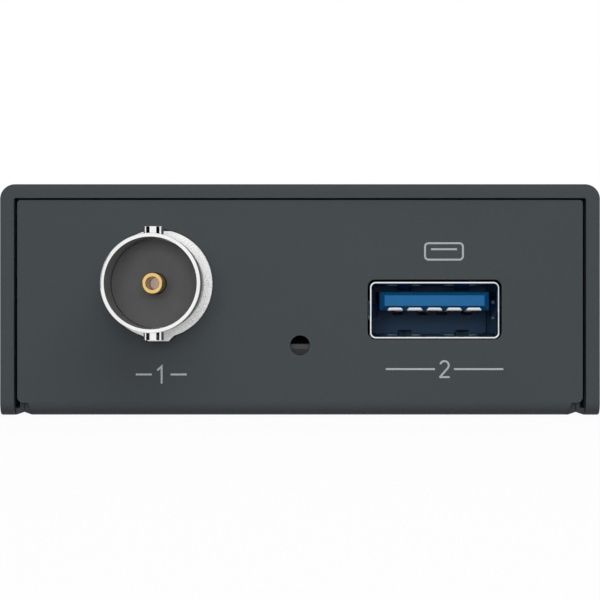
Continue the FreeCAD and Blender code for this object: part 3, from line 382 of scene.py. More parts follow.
@dataclass(frozen=True)
class CoatedSheet(Finish):
    """Fine matt coating on metal: close grain and faint clouds."""

    grain: float = 0.16
    grain_depth: float = 0.006
    grain_share: float = 0.55
    cloud: float = 14.0
    spread: float = 0.05
    rough_spread: float = 0.14
    gloss: float = 0.1

    def sockets(self, sheet: NodeSheet) -> dict[str, Entry]:
        """Grain in the colour, the roughness and the relief.

        Args:
            sheet: the material's nodes.

        Returns:
            What the shader's sockets get.
        """
        grain = sheet.noise(self.grain, 3.0)
        cloud = sheet.noise(self.cloud, 3.0)
        share = grain * self.grain_share + cloud * (1 - self.grain_share)
        low = tinted(self.colour, 1 - self.spread)
        high = tinted(self.colour, 1 + self.spread)
        return {
            "Base Color": sheet.ramp(share, [(0.3, low), (0.7, high)]),
            "Roughness": grain * self.rough_spread + (self.roughness - self.rough_spread / 2),
            "Specular IOR Level": self.gloss,
            "Normal": sheet.bump(grain, self.grain_depth),
        }


@dataclass(frozen=True)
class PlatedMetal(Finish):
    """Bare or plated metal, with drawing marks along one axis and faint tarnish."""

    mark: float = 0.05
    mark_depth: float = 0.0006
    stretch: Point = (1.0, 0.08, 1.0)
    patch: float = 2.2
    tarnish: float = 0.06
    metal: float = 1.0

    def sockets(self, sheet: NodeSheet) -> dict[str, Entry]:
        """Marks in the roughness and relief, and tarnish in the colour.

        Args:
            sheet: the material's nodes.

        Returns:
            What the shader's sockets get.
        """
        marks = sheet.noise(self.mark, 2.0, self.stretch)
        patches = sheet.noise(self.patch, 4.0)
        dull = tinted(self.colour, 1 - self.tarnish)
        half_rough = 0.5 * self.roughness
        return {
            "Base Color": sheet.ramp(patches, [(0.35, dull), (0.65, self.colour)]),
            "Metallic": self.metal,
            "Roughness": marks * half_rough + patches * half_rough + half_rough,
            "Normal": sheet.bump(marks, self.mark_depth),
        }


@dataclass(frozen=True)
class ZonedMetal(PlatedMetal):
    """Plating that has another colour and polish in one zone; on the coaxial barrel and the USB shell that
    colour is painted shade.
    """

    zone: Zone = Zone()
    zone_colour: Colour = WHITE
    zone_roughness: float = 0.3

    def sockets(self, sheet: NodeSheet) -> dict[str, Entry]:
        """The plating's sockets, changed inside the zone.

        Args:
            sheet: the material's nodes.

        Returns:
            What the shader's sockets get.
        """
        sockets = super().sockets(sheet)
        inside = self.zone.mask(sheet)
        sockets["Base Color"] = sheet.mixed(inside, sockets["Base Color"], self.zone_colour)
        sockets["Roughness"] = sockets["Roughness"] + inside * (self.zone_roughness - self.roughness)
        return sockets


@dataclass(frozen=True)
class TinPad(Finish):
    """Matt tin on a contact pad, with wiping marks across it."""

    metal: float = 0.35
    mark: float = 0.04
    mark_depth: float = 0.0005
    stretch: Point = (1.0, 0.1, 1.0)
    spot: float = 0.3
    dullness: float = 0.05
    rough_spread: float = 0.1

    def sockets(self, sheet: NodeSheet) -> dict[str, Entry]:
        """Wiping marks in the roughness and relief, and a faint mottle in the colour.

        Args:
            sheet: the material's nodes.

        Returns:
            What the shader's sockets get.
        """
        marks = sheet.noise(self.mark, 2.0, self.stretch)
        mottle = sheet.noise(self.spot, 2.0)
        dull = tinted(self.colour, 1 - self.dullness)
        return {
            "Base Color": sheet.ramp(mottle, [(0.3, dull), (0.7, self.colour)]),
            "Metallic": self.metal,
            "Roughness": marks * self.rough_spread + self.roughness,
            "Normal": sheet.bump(marks, self.mark_depth),
        }


@dataclass(frozen=True)
class MouldedPlastic(Finish):
    """Moulded plastic with a fine spark-eroded grain and faint flow clouds."""

    grain: float = 0.07
    grain_depth: float = 0.002
    grain_share: float = 0.4
    cloud: float = 1.6
    spread: float = 0.08
    rough_spread: float = 0.16
    gloss: float = 0.4

    def sockets(self, sheet: NodeSheet) -> dict[str, Entry]:
        """Grain in the relief and roughness, and clouds in the colour.

        Args:
            sheet: the material's nodes.

        Returns:
            What the shader's sockets get.
        """
        grain = sheet.noise(self.grain, 2.0)
        share = sheet.noise(self.cloud, 3.0) * (1 - self.grain_share) + grain * self.grain_share
        low = tinted(self.colour, 1 - self.spread)
        high = tinted(self.colour, 1 + self.spread)
        return {
            "Base Color": sheet.ramp(share, [(0.3, low), (0.7, high)]),
            "Roughness": grain * self.rough_spread + (self.roughness - self.rough_spread / 2),
            "Specular IOR Level": self.gloss,
            "Normal": sheet.bump(grain, self.grain_depth),
        }


@dataclass(frozen=True)
class ZonedPlastic(MouldedPlastic):
    """Moulded plastic whose faces further back are painted other colours than its front face: painted
    shade.
    """

    shade_zones: tuple[tuple[Zone, Colour], ...] = ()

    def sockets(self, sheet: NodeSheet) -> dict[str, Entry]:
        """The plastic's sockets, with each zone's painted shade in its place.

        Args:
            sheet: the material's nodes.

        Returns:
            What the shader's sockets get.
        """
        sockets = super().sockets(sheet)
        for zone, colour in self.shade_zones:
            sockets["Base Color"] = sheet.mixed(zone.mask(sheet), sockets["Base Color"], colour)
        return sockets


@dataclass(frozen=True)
class ClearPlastic(Finish):
    """Clear moulded light guide, a little milky inside."""

    milk: float = 0.25
    cloud: float = 0.9
    grain: float = 0.08
    grain_depth: float = 0.001
    refraction: float = 1.49
    clearness: float = 0.6
    rough_spread: float = 0.12

    def sockets(self, sheet: NodeSheet) -> dict[str, Entry]:
        """Milky clouds in the colour and fine polish marks in the roughness.

        Args:
            sheet: the material's nodes.

        Returns:
            What the shader's sockets get.
        """
        clouds = sheet.noise(self.cloud, 3.0)
        grain = sheet.noise(self.grain, 2.0)
        milky = tinted(self.colour, 1 - self.milk)
        return {
            "Base Color": sheet.ramp(clouds, [(0.3, milky), (0.7, self.colour)]),
            "Roughness": grain * self.rough_spread + self.roughness,
            "IOR": self.refraction,
            "Transmission Weight": self.clearness,
            "Normal": sheet.bump(grain, self.grain_depth),
        }


@dataclass(frozen=True)
class BoardLaminate(Finish):
    """Solder mask over copper: bands of tracks both ways, and tinned pads."""

    track_pitch: float = 0.5
    track_limit: float = 0.6
    pad_pitch: float = 1.9
    pad_share: float = 0.16
    region: float = 7.0
    across_limit: float = 0.4601
    along_limit: float = 0.52
    relief: float = 0.03
    track_level: float = 1.8
    grain: float = 0.3
    rough_spread: float = 0.15
    tin: Colour = (0.72, 0.72, 0.70)

    def tracks(self, sheet: NodeSheet, axis: Axis) -> Shade:
        """Straight tracks, side by side.

        Args:
            sheet: the material's nodes.
            axis: the axis along which the tracks follow one another.

        Returns:
            1 on a track and 0 between.
        """
        sockets = {"Vector": sheet.place(), "Scale": WAVE_PERIOD / (self.track_pitch * MM)}
        settings = {"wave_type": "BANDS", "bands_direction": axis.value}
        return sheet.value("ShaderNodeTexWave", settings, sockets, "Fac").above(self.track_limit)

    def sockets(self, sheet: NodeSheet) -> dict[str, Entry]:
        """Tracks that stand a little proud, and pads that shine.

        Args:
            sheet: the material's nodes.

        Returns:
            What the shader's sockets get.
        """
        region = sheet.noise(self.region, 1.0)
        lengthways = region.above(self.along_limit)
        across = 1 - region.above(self.across_limit)
        copper = self.tracks(sheet, Axis.X) * lengthways + self.tracks(sheet, Axis.Y) * across
        pads = 1 - sheet.cells(self.pad_pitch).above(self.pad_share)
        mask = sheet.mixed(copper, self.colour, tinted(self.colour, self.track_level))
        return {
            "Base Color": sheet.mixed(pads, mask, self.tin),
            "Metallic": pads,
            "Roughness": sheet.noise(self.grain, 2.0) * self.rough_spread + self.roughness,
            "Normal": sheet.bump(copper + pads, self.relief),
        }


@dataclass(frozen=True)
class PrintInk(Finish):
    """Screen-printed ink, slightly uneven in cover."""

    grain: float = 0.12
    grain_depth: float = 0.002
    thinness: float = 0.82
    rough_spread: float = 0.1

    def sockets(self, sheet: NodeSheet) -> dict[str, Entry]:
        """Uneven cover in the colour and the roughness.

        Args:
            sheet: the material's nodes.

        Returns:
            What the shader's sockets get.
        """
        cover = sheet.noise(self.grain, 2.0)
        thin = tinted(self.colour, self.thinness)
        return {
            "Base Color": sheet.ramp(cover, [(0.32, thin), (0.6, self.colour)]),
            "Roughness": cover * self.rough_spread + self.roughness,
            "Normal": sheet.bump(cover, self.grain_depth),
        }


VIDEO_AXIS = (-14.23, 13.2)

COVER_COAT = CoatedSheet("cover_coat", srgb(69, 74, 77), 0.52)
TRAY_COAT = CoatedSheet("tray_coat", srgb(70, 75, 78), 0.56)
NICKEL = ZonedMetal(
    "nickel_plate",
    (0.91, 0.91, 0.90),
    0.09,
    # The barrel's outside behind the mouth is painted a dark grey: painted shade between the mouth's ring
    # and the flange.
    zone=Zone(VIDEO_AXIS, 4.5, 4.78, -62.45),
    zone_colour=(0.40, 0.40, 0.40),
    zone_roughness=0.34,
)
SATIN_NICKEL = PlatedMetal(
    "satin_nickel", (0.98, 0.98, 0.97), 0.28, mark=0.09, mark_depth=0.0007, tarnish=0.02, metal=0.35
)
TINNED_STEEL = PlatedMetal("tinned_steel", (0.87, 0.87, 0.87), 0.2)
DRAWN_STEEL = ZonedMetal(
    "drawn_steel",
    (0.87, 0.87, 0.87),
    0.2,
    # Behind its front edge the shell is painted a dark blue: painted shade inside the socket and a painted
    # reflection of the blue body.
    zone=Zone(front_y=-50.12),
    zone_colour=(0.26, 0.42, 0.56),
    zone_roughness=0.3,
)
# A dark grey in place of the springs' bright plating: painted shade under the tongue.
SHADED_SPRING_METAL = PlatedMetal("spring_metal_painted_shade", (0.3, 0.31, 0.33), 0.45)
ZINC = PlatedMetal("zinc_plate", (0.62, 0.62, 0.60), 0.36, tarnish=0.2)
BLACK_OXIDE = PlatedMetal("black_oxide", (0.07, 0.07, 0.075), 0.42, tarnish=0.3)
GOLD = PlatedMetal("gold_plate", (0.90, 0.60, 0.17), 0.14, tarnish=0.1)
PIN_GOLD = ZonedMetal(
    "pin_gold",
    (0.84, 0.575, 0.19),
    0.16,
    zone=Zone(VIDEO_AXIS, outer_radius=0.66),
    zone_colour=(0.68, 0.54, 0.48),
    zone_roughness=0.28,
)
PAD_TIN = TinPad("pad_tin", (0.92, 0.92, 0.91), 0.3)
MILLED = PlatedMetal("milled_aluminium", (0.78, 0.78, 0.79), 0.3, mark=0.12, mark_depth=0.002)
LINING_PLASTIC = MouldedPlastic("lining_plastic", srgb(91, 91, 92), 0.55, gloss=0.2)
# Near black, far darker than moulded black, on the coaxial socket's block and the switch body, which show
# only through gaps: painted shade in those gaps.
GAP_SHADE_BLACK = MouldedPlastic("gap_shade_black", (0.002, 0.002, 0.002), 0.7, gloss=0.03)
BLACK_PLASTIC = MouldedPlastic("moulded_black", (0.014, 0.014, 0.015), 0.5)
TONGUE_PLASTIC = ZonedPlastic(
    "moulded_blue",
    srgb(29, 100, 152),
    0.42,
    gloss=0.25,
    shade_zones=(
        # The tongue's bevels and sides are painted a darker blue: painted shade from the shell round them.
        (Zone(front_y=-49.93, back_y=-45.0), srgb(8, 70, 112)),
        # The body's parts further back are painted a greyer, darker blue: painted shade deep in the socket.
        (Zone(front_y=-45.0), srgb(44, 66, 90)),
    ),
)
PLUNGER_PLASTIC = MouldedPlastic("moulded_grey", (0.09, 0.09, 0.09), 0.5)
CHIP_EPOXY = MouldedPlastic("chip_epoxy", (0.018, 0.018, 0.019), 0.6, grain=0.12, grain_depth=0.006)
FILM = MouldedPlastic("black_film", (0.02, 0.02, 0.02), 0.35, grain=0.4, grain_depth=0.003)
SOFT_PAD = MouldedPlastic("thermal_pad", (0.28, 0.36, 0.42), 0.75, grain=0.25, grain_depth=0.02)
CLEAR = ClearPlastic("clear_guide", (0.86, 0.87, 0.85), 0.08)
BOARD_MASK = BoardLaminate("board_mask", (0.012, 0.065, 0.035), 0.22)
PANEL_INK = PrintInk("panel_ink", srgb(180, 183, 184), 0.55)


def dress(node: str, finish: Finish) -> bpy.types.Object:
    """Give a carried-over node its finish.

    Args:
        node: the node's name.
        finish: what it is finished in.

    Returns:
        The node's object.
    """
    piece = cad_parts[node]
    material = finish.material()
    for slot in piece.material_slots:
        slot.material = material
    log.info("%s: %s", node, finish.name)
    return piece


def smoothing_group() -> bpy.types.NodeTree:
    """Geometry nodes that join split corners and shade every face smooth.

    Returns:
        The node group.
    """
    found = bpy.data.node_groups.get("joined_smooth")
    if found is not None:
        return found
    group = bpy.data.node_groups.new("joined_smooth", "GeometryNodeTree")
    for direction in ("INPUT", "OUTPUT"):
        group.interface.new_socket("Geometry", in_out=direction, socket_type="NodeSocketGeometry")
    start = group.nodes.new("NodeGroupInput")
    merge = group.nodes.new("GeometryNodeMergeByDistance")
    merge.inputs["Distance"].default_value = JOIN_DISTANCE * MM
    smooth = group.nodes.new("GeometryNodeSetShadeSmooth")
    end = group.nodes.new("NodeGroupOutput")
    group.links.new(start.outputs[0], merge.inputs["Geometry"])
    group.links.new(merge.outputs[0], smooth.inputs["Geometry"])
    group.links.new(smooth.outputs[0], end.inputs[0])
    return group


def soften(piece: bpy.types.Object, width: float) -> None:
    """Round a piece's sharp edges a little, as a real edge is.

    Args:
        piece: the piece.
        width: the rounding's width in millimetres.
    """
    joined = piece.modifiers.new("joined", "NODES")
    joined.node_group = smoothing_group()
    flats = piece.modifiers.new("flats", "DECIMATE")
    flats.decimate_type = "DISSOLVE"
    flats.angle_limit = math.radians(FLAT_ANGLE)
    edge = piece.modifiers.new("edges", "BEVEL")
    edge.width = width * MM
    edge.segments = EDGE_SEGMENTS
    edge.limit_method = "ANGLE"
    edge.angle_limit = math.radians(EDGE_ANGLE)
    edge.miter_outer = "MITER_ARC"
    shade = piece.modifiers.new("shading", "WEIGHTED_NORMAL")
    shade.weight = FACE_WEIGHT


class MeshDraft:
    """The points and faces of one piece, in millimetres."""

    def __init__(self) -> None:
        """Start empty."""
        self.points: list[Point] = []
        self.faces: list[tuple[int, ...]] = []

    def add(self, points: Iterable[Point], faces: Iterable[tuple[int, ...]]) -> None:
        """Add points, and faces that count from the first of them.

        Args:
            points: the points.
            faces: each face's points, as indices into these points.
        """
        start = len(self.points)
        self.points.extend(points)
        self.faces.extend(tuple(start + index for index in face) for face in faces)

    def add_grid(self, rows: Sequence[Sequence[Point]], closed: bool) -> None:
        """Join rows of points with quads.

        Args:
            rows: the rows, all of one length.
            closed: whether each row runs back to its first point.
        """
        count = len(rows[0])
        last = count if closed else count - 1
        faces = []
        for row in range(len(rows) - 1):
            for column in range(last):
                after = (column + 1) % count
                low, high = row * count, (row + 1) * count
                faces.append((low + column, low + after, high + after, high + column))
        self.add([point for row in rows for point in row], faces)

    def add_turned(self, axis: Flat, profile: Sequence[Flat], steps: int) -> None:
        """Turn a profile round an axis that runs from front to back.

        Args:
            axis: the axis's x and z.
            profile: the closed profile's points, as y and radius.
            steps: how many faces go round.
        """
        rows = []
        for y, radius in (*profile, profile[0]):
            circle = round_points(axis, radius, steps)
            rows.append([(x, y, z) for x, z in circle])
        self.add_grid(rows, True)

    def add_ribbon(
        self, middle: Flat, up: Flat, path: Sequence[Flat], widths: Sequence[float], sheet: float
    ) -> None:
        """Run a flat strip from front to back along a bent path.

        Args:
            middle: the x and z from which the path rises.
            up: the direction in x and z in which it rises.
            path: the points of its middle, as y and rise.
            widths: its width at each point.
            sheet: its thickness.
        """
        points = [Vector(point) for point in path]
        rows = []
        for index, (point, width) in enumerate(zip(points, widths)):
            before = points[max(index - 1, 0)]
            after = points[min(index + 1, len(points) - 1)]
            ahead = (after - point) if after != point else (point - before)
            behind = (point - before) if before != point else ahead
            along = (ahead.normalized() + behind.normalized()).normalized()
            reach = sheet / 2 / max(STRIP_MITRE, along.dot(ahead.normalized()))
            offset = Vector((-along.y, along.x)) * reach
            row = []
            for side, face in ((-1, -1), (1, -1), (1, 1), (-1, 1)):
                y, rise = point + face * offset
                across = side * width / 2
                x = middle[0] + up[0] * rise + up[1] * across
                z = middle[1] + up[1] * rise - up[0] * across
                row.append((x, y, z))
            rows.append(row)
        self.add_grid(rows, True)
        for row in (rows[0], rows[-1]):
            self.add(row, [(0, 1, 2, 3)])

    def add_block(self, low: Point, high: Point) -> None:
        """Add a plain block between two corners.

        Args:
            low: its lowest corner.
            high: its highest corner.
        """
        rows = [
            [(low[0], low[1], z), (high[0], low[1], z), (high[0], high[1], z), (low[0], high[1], z)]
            for z in (low[2], high[2])
        ]
        self.add_grid(rows, True)
        for row in rows:
            self.add(row, [(0, 1, 2, 3)])

    def build(self, name: str, finish: Finish, slot: str, sharp: float = 35.0) -> bpy.types.Object:
        """Make the piece, dress it and let it ride on the housing.

        Args:
            name: the piece's name.
            finish: what it is finished in.
            slot: a material slot's name; not used.
            sharp: the angle in degrees above which an edge stays sharp.

        Returns:
            The piece.
        """
        mesh = bpy.data.meshes.new(name)
        mesh.from_pydata([Vector(point) * MM for point in self.points], [], self.faces)
        form = bmesh.new()
        form.from_mesh(mesh)
        bmesh.ops.remove_doubles(form, verts=form.verts, dist=WELD_DISTANCE * MM)
        bmesh.ops.dissolve_degenerate(form, dist=SHORTEST_EDGE * MM, edges=form.edges)
        bmesh.ops.recalc_face_normals(form, faces=form.faces)
        form.to_mesh(mesh)
        form.free()
        mesh.shade_smooth()
        mesh.set_sharp_from_angle(angle=math.radians(sharp))
        mesh.materials.append(finish.material())
        piece = bpy.data.objects.new(name, mesh)
        bpy.context.scene.collection.objects.link(piece)
        shade = piece.modifiers.new("shading", "WEIGHTED_NORMAL")
        shade.weight = FACE_WEIGHT
        shade.keep_sharp = True
        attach(piece, HOUSING)
        log.info("%s: %d faces, %s", name, len(mesh.polygons), finish.name)
        return piece


@dataclass(frozen=True)
class Case:
    """The U-shaped cover and the bent tray."""

    cover_edge: float = 0.06
    tray_edge: float = 0.05

    def build(self) -> None:
        """Coat both sheets and round their edges."""
        soften(dress("top_cover", COVER_COAT), self.cover_edge)
        soften(dress("base_tray", TRAY_COAT), self.tray_edge)


@dataclass(frozen=True)
class PanelMarks:
    """Generic print on the front panel: a numeral under each socket and a port sign."""

    panel_y: float = -50.15
    ink: float = 0.012
    layer_step: float = 0.002
    stroke: float = 0.19
    video_place: Flat = (-13.94, 4.10)
    video_width: float = 5.1
    usb_place: Flat = (14.51, 4.64)
    usb_width: float = 11.8
    cap_height: float = 1.8
    numeral_space: float = 0.95
    one_flag: float = 0.4
    one_stem: float = 0.04
    two_bow: float = 0.43
    two_turn: Flat = (165.0, -38.0)
    two_heel: float = -0.46
    two_base: Flat = (-0.5, 0.52)
    sign_place: Flat = (14.46, 16.46)
    sign_size: Flat = (4.0, 1.84)
    sign_corner: float = 0.35
    tongue_width: float = 2.6
    tongue_rise: float = 0.22
    bow_steps: int = 14
    corner_steps: int = 6

    def draw(self, draft: MeshDraft, path: Sequence[Flat], layer: int = 0, closed: bool = False) -> None:
        """Lay a line of ink along a path.

        Args:
            draft: the mesh that the line goes into.
            path: the points of its middle, as x and z.
            layer: how many lines it may lie on.
            closed: whether it runs back to its first point.
        """
        half = self.stroke / 2
        points = [Vector(point) for point in path]
        count = len(points)
        rows = []
        for index, point in enumerate(points):
            ahead = points[(index + 1) % count] - point
            behind = point - points[index - 1]
            if not closed and index == 0:
                behind = ahead
            if not closed and index == count - 1:
                ahead = behind
            along = (ahead.normalized() + behind.normalized()).normalized()
            aside = Vector((-along.y, along.x)) * (half / max(INK_MITRE, along.dot(ahead.normalized())))
            left, right = point + aside, point - aside
            low, high = self.panel_y, self.panel_y - self.ink - layer * self.layer_step
            rows.append([
                (left.x, low, left.y), (left.x, high, left.y),
                (right.x, high, right.y), (right.x, low, right.y),
            ])
        if closed:
            rows.append(rows[0])
        draft.add_grid(rows, True)
        if not closed:
            for row in (rows[0], rows[-1]):
                draft.add(row, [(0, 1, 2, 3)])

    @staticmethod
    def turn(centre: Flat, radius: float, start: float, end: float, steps: int) -> list[Flat]:
        """Points of an arc between two angles in degrees."""
        angles = [math.radians(start + (end - start) * step / steps) for step in range(steps + 1)]
        return [(centre[0] + radius * math.cos(a), centre[1] + radius * math.sin(a)) for a in angles]

    def numeral_one(self, place: Flat) -> list[list[Flat]]:
        """The strokes of a 1, centred on a place.

        Args:
            place: the numeral's middle, as x and z.

        Returns:
            The strokes, each a line of points as x and z.
        """
        x, z = place
        half = (self.cap_height - self.stroke) / 2
        stem = x + self.one_stem
        flag = (x - self.one_flag, z + half - self.one_flag)
        return [[flag, (stem, z + half), (stem, z - self.cap_height / 2)]]

    def numeral_two(self, place: Flat) -> list[list[Flat]]:
        """The strokes of a 2, centred on a place.

        Args:
            place: the numeral's middle, as x and z.

        Returns:
            The strokes, each a line of points as x and z.
        """
        x, z = place
        half = (self.cap_height - self.stroke) / 2
        low = z - half
        top = self.turn((x, z + half - self.two_bow), self.two_bow, *self.two_turn, self.bow_steps)
        return [top + [(x + self.two_heel, low)], [(x + reach, low) for reach in self.two_base]]

    def rules(self, place: Flat, width: float) -> list[list[Flat]]:
        """A thin rule on each side of a numeral.

        Args:
            place: the numeral's middle, as x and z.
            width: from the one rule's outer end to the other's.

        Returns:
            The strokes, each a line of points as x and z.
        """
        x, z = place
        return [
            [(x + side * self.numeral_space, z), (x + side * width / 2, z)] for side in (-1, 1)
        ]

    def rounded(self, size: Flat, corner: float) -> list[Flat]:
        """A rounded rectangle round the sign's place.

        Args:
            size: its width and height.
            corner: its corners' radius.

        Returns:
            Its points, as x and z.
        """
        x, z = self.sign_place
        reach_x, reach_z = size[0] / 2 - corner, size[1] / 2 - corner
        path = []
        for index, (side_x, side_z) in enumerate(((1, 1), (-1, 1), (-1, -1), (1, -1))):
            centre = (x + side_x * reach_x, z + side_z * reach_z)
            path += self.turn(centre, corner, 90 * index, 90 * index + 90, self.corner_steps)
        return path

    def build(self) -> None:
        """Print the three marks."""
        for name, numeral, place, width in (
            ("mark_video", self.numeral_one, self.video_place, self.video_width),
            ("mark_usb", self.numeral_two, self.usb_place, self.usb_width),
        ):
            draft = MeshDraft()
            for layer, path in enumerate(numeral(place) + self.rules(place, width)):
                self.draw(draft, path, layer)
            draft.build(name, PANEL_INK, "clear_plastic")
        draft = MeshDraft()
        outline = tuple(size - self.stroke for size in self.sign_size)
        self.draw(draft, self.rounded(outline, self.sign_corner), closed=True)
        x, z = self.sign_place
        reach, z = self.tongue_width / 2, z + self.tongue_rise
        self.draw(draft, [(x - reach, z), (x + reach, z)])
        draft.build("mark_port", PANEL_INK, "clear_plastic")


@dataclass(frozen=True)
class VideoSocket:
    """The coaxial socket: nickel barrel with two lugs and a keyed flange, lining and gold contact."""

    mouth_y: float = -62.55
    bore_radius: float = 4.41
    land_radius: float = 4.77
    mouth_chamfer: float = 0.13
    land_end_y: float = -58.55
    relief_radius: float = 4.6
    floor_y: float = -52.25
    stem_radius: float = 2.4
    tail_radius: float = 4.9
    tail_start_y: float = -49.95
    tail_end_y: float = -45.9
    lug_y: float = -57.35
    lug_radius: float = 0.975
    lug_tip: float = 5.52
    lug_root: float = 0.1
    lug_edge: float = 0.012
    lug_steps: int = 64
    flange_front_y: float = -50.35
    flange_back_y: float = -48.9
    flange_radius: float = 5.44
    flange_flat: float = 5.3
    tab_reach: float = 5.77
    tab_half_width: float = 1.03
    tab_slope: float = 0.54
    fine_edge: float = 0.025
    flange_edge: float = 0.06
    edge: float = 0.05
    steps: int = 144

    def barrel_profile(self) -> list[Flat]:
        """The turned body's closed profile, as y and radius, from the bore's mouth outwards.

        Returns:
            The profile's points.
        """
        fine = self.fine_edge
        chamfer = self.mouth_chamfer
        return [
            (self.mouth_y + fine, self.bore_radius),
            (self.mouth_y, self.bore_radius + fine),
            (self.mouth_y, self.land_radius - chamfer),
            (self.mouth_y + chamfer, self.land_radius),
            (self.land_end_y - fine, self.land_radius),
            (self.land_end_y, self.land_radius - fine),
            (self.land_end_y, self.relief_radius),
            (self.tail_start_y, self.relief_radius),
            (self.tail_start_y, self.tail_radius),
            (self.tail_end_y, self.tail_radius),
            (self.tail_end_y, self.stem_radius),
            (self.floor_y, self.stem_radius),
            (self.floor_y, self.bore_radius),
        ]

    def flange_angles(self) -> list[float]:
        """The directions of the flange's points: evenly round, and one at each corner.

        Returns:
            The angles from the x axis, in radians and in order.
        """
        flat_half = math.sqrt(self.flange_radius ** 2 - self.flange_flat ** 2)
        root = self.tab_half_width + self.tab_slope
        corners = [(flat_half, self.flange_flat)]
        corners += [(self.tab_half_width, -self.tab_reach), (root, self.tab_slope - self.tab_reach)]
        angles = {2 * math.pi * step / self.steps for step in range(self.steps)}
        for x, z in corners:
            angles |= {math.atan2(z, side * x) % (2 * math.pi) for side in (-1, 1)}
        return sorted(angles)

    def flange_outline(self, inset: float) -> list[Flat]:
        """The flange's outline: round, with a flat above and a tab below.

        Args:
            inset: how far inside the full outline it runs.

        Returns:
            The points, as x and z.
        """
        outline = []
        root = self.tab_half_width + self.tab_slope
        slope_sum = self.tab_half_width + self.tab_reach - inset * math.sqrt(2)
        for angle in self.flange_angles():
            across, up = math.cos(angle), math.sin(angle)
            reach = self.flange_radius - inset
            if up > 0:
                reach = min(reach, (self.flange_flat - inset) / up)
            if up < 0:
                tab = min((self.tab_reach - inset) / -up, slope_sum / (abs(across) - up))
                if tab * abs(across) <= root + 0.001:
                    reach = max(reach, tab)
            outline.append((VIDEO_AXIS[0] + reach * across, VIDEO_AXIS[1] + reach * up))
        return outline

    def add_flange(self, draft: MeshDraft) -> None:
        """Lay the flange's ring round the barrel, with its edges broken.

        Args:
            draft: the mesh that it goes into.
        """
        radius = self.relief_radius
        inner = [
            (VIDEO_AXIS[0] + radius * math.cos(angle), VIDEO_AXIS[1] + radius * math.sin(angle))
            for angle in self.flange_angles()
        ]
        edge = self.flange_edge
        rows = [
            (inner, self.flange_front_y),
            (self.flange_outline(edge), self.flange_front_y),
            (self.flange_outline(0.0), self.flange_front_y + edge),
            (self.flange_outline(0.0), self.flange_back_y),
            (inner, self.flange_back_y),
            (inner, self.flange_front_y),
        ]
        draft.add_grid([[(x, y, z) for x, z in outline] for outline, y in rows], True)

    def add_lug(self, draft: MeshDraft, side: int) -> None:
        """Set a bayonet lug in the barrel.

        Args:
            draft: the mesh that it goes into.
            side: 1 for the lug above the barrel and -1 for the one below.
        """
        rows = []
        for radius, reach in (
            (self.lug_radius, self.bore_radius + self.lug_root),
            (self.lug_radius, self.lug_tip - self.lug_edge),
            (self.lug_radius - self.lug_edge, self.lug_tip),
        ):
            circle = round_points((VIDEO_AXIS[0], self.lug_y), radius, self.lug_steps)
            rows.append([(x, y, VIDEO_AXIS[1] + side * reach) for x, y in circle])
        draft.add_grid(rows, True)
        for row in (rows[0], rows[-1]):
            draft.add(row, [tuple(range(self.lug_steps))])

    def build(self) -> None:
        """Turn the shell, and dress the lining, the contact and the block."""
        draft = MeshDraft()
        draft.add_turned(VIDEO_AXIS, self.barrel_profile(), self.steps)
        self.add_lug(draft, 1)
        self.add_lug(draft, -1)
        barrel = draft.build("bnc_barrel", NICKEL, "bright_nickel", sharp=25.0)
        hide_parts("bnc_shell")
        draft = MeshDraft()
        self.add_flange(draft)
        flange = draft.build("bnc_flange", SATIN_NICKEL, "bright_nickel", sharp=25.0)
        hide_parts("bnc_shell")
        soften(dress("bnc_contact", PIN_GOLD), self.edge)
        dress("bnc_insulator", LINING_PLASTIC)
        dress("bnc_block", GAP_SHADE_BLACK)


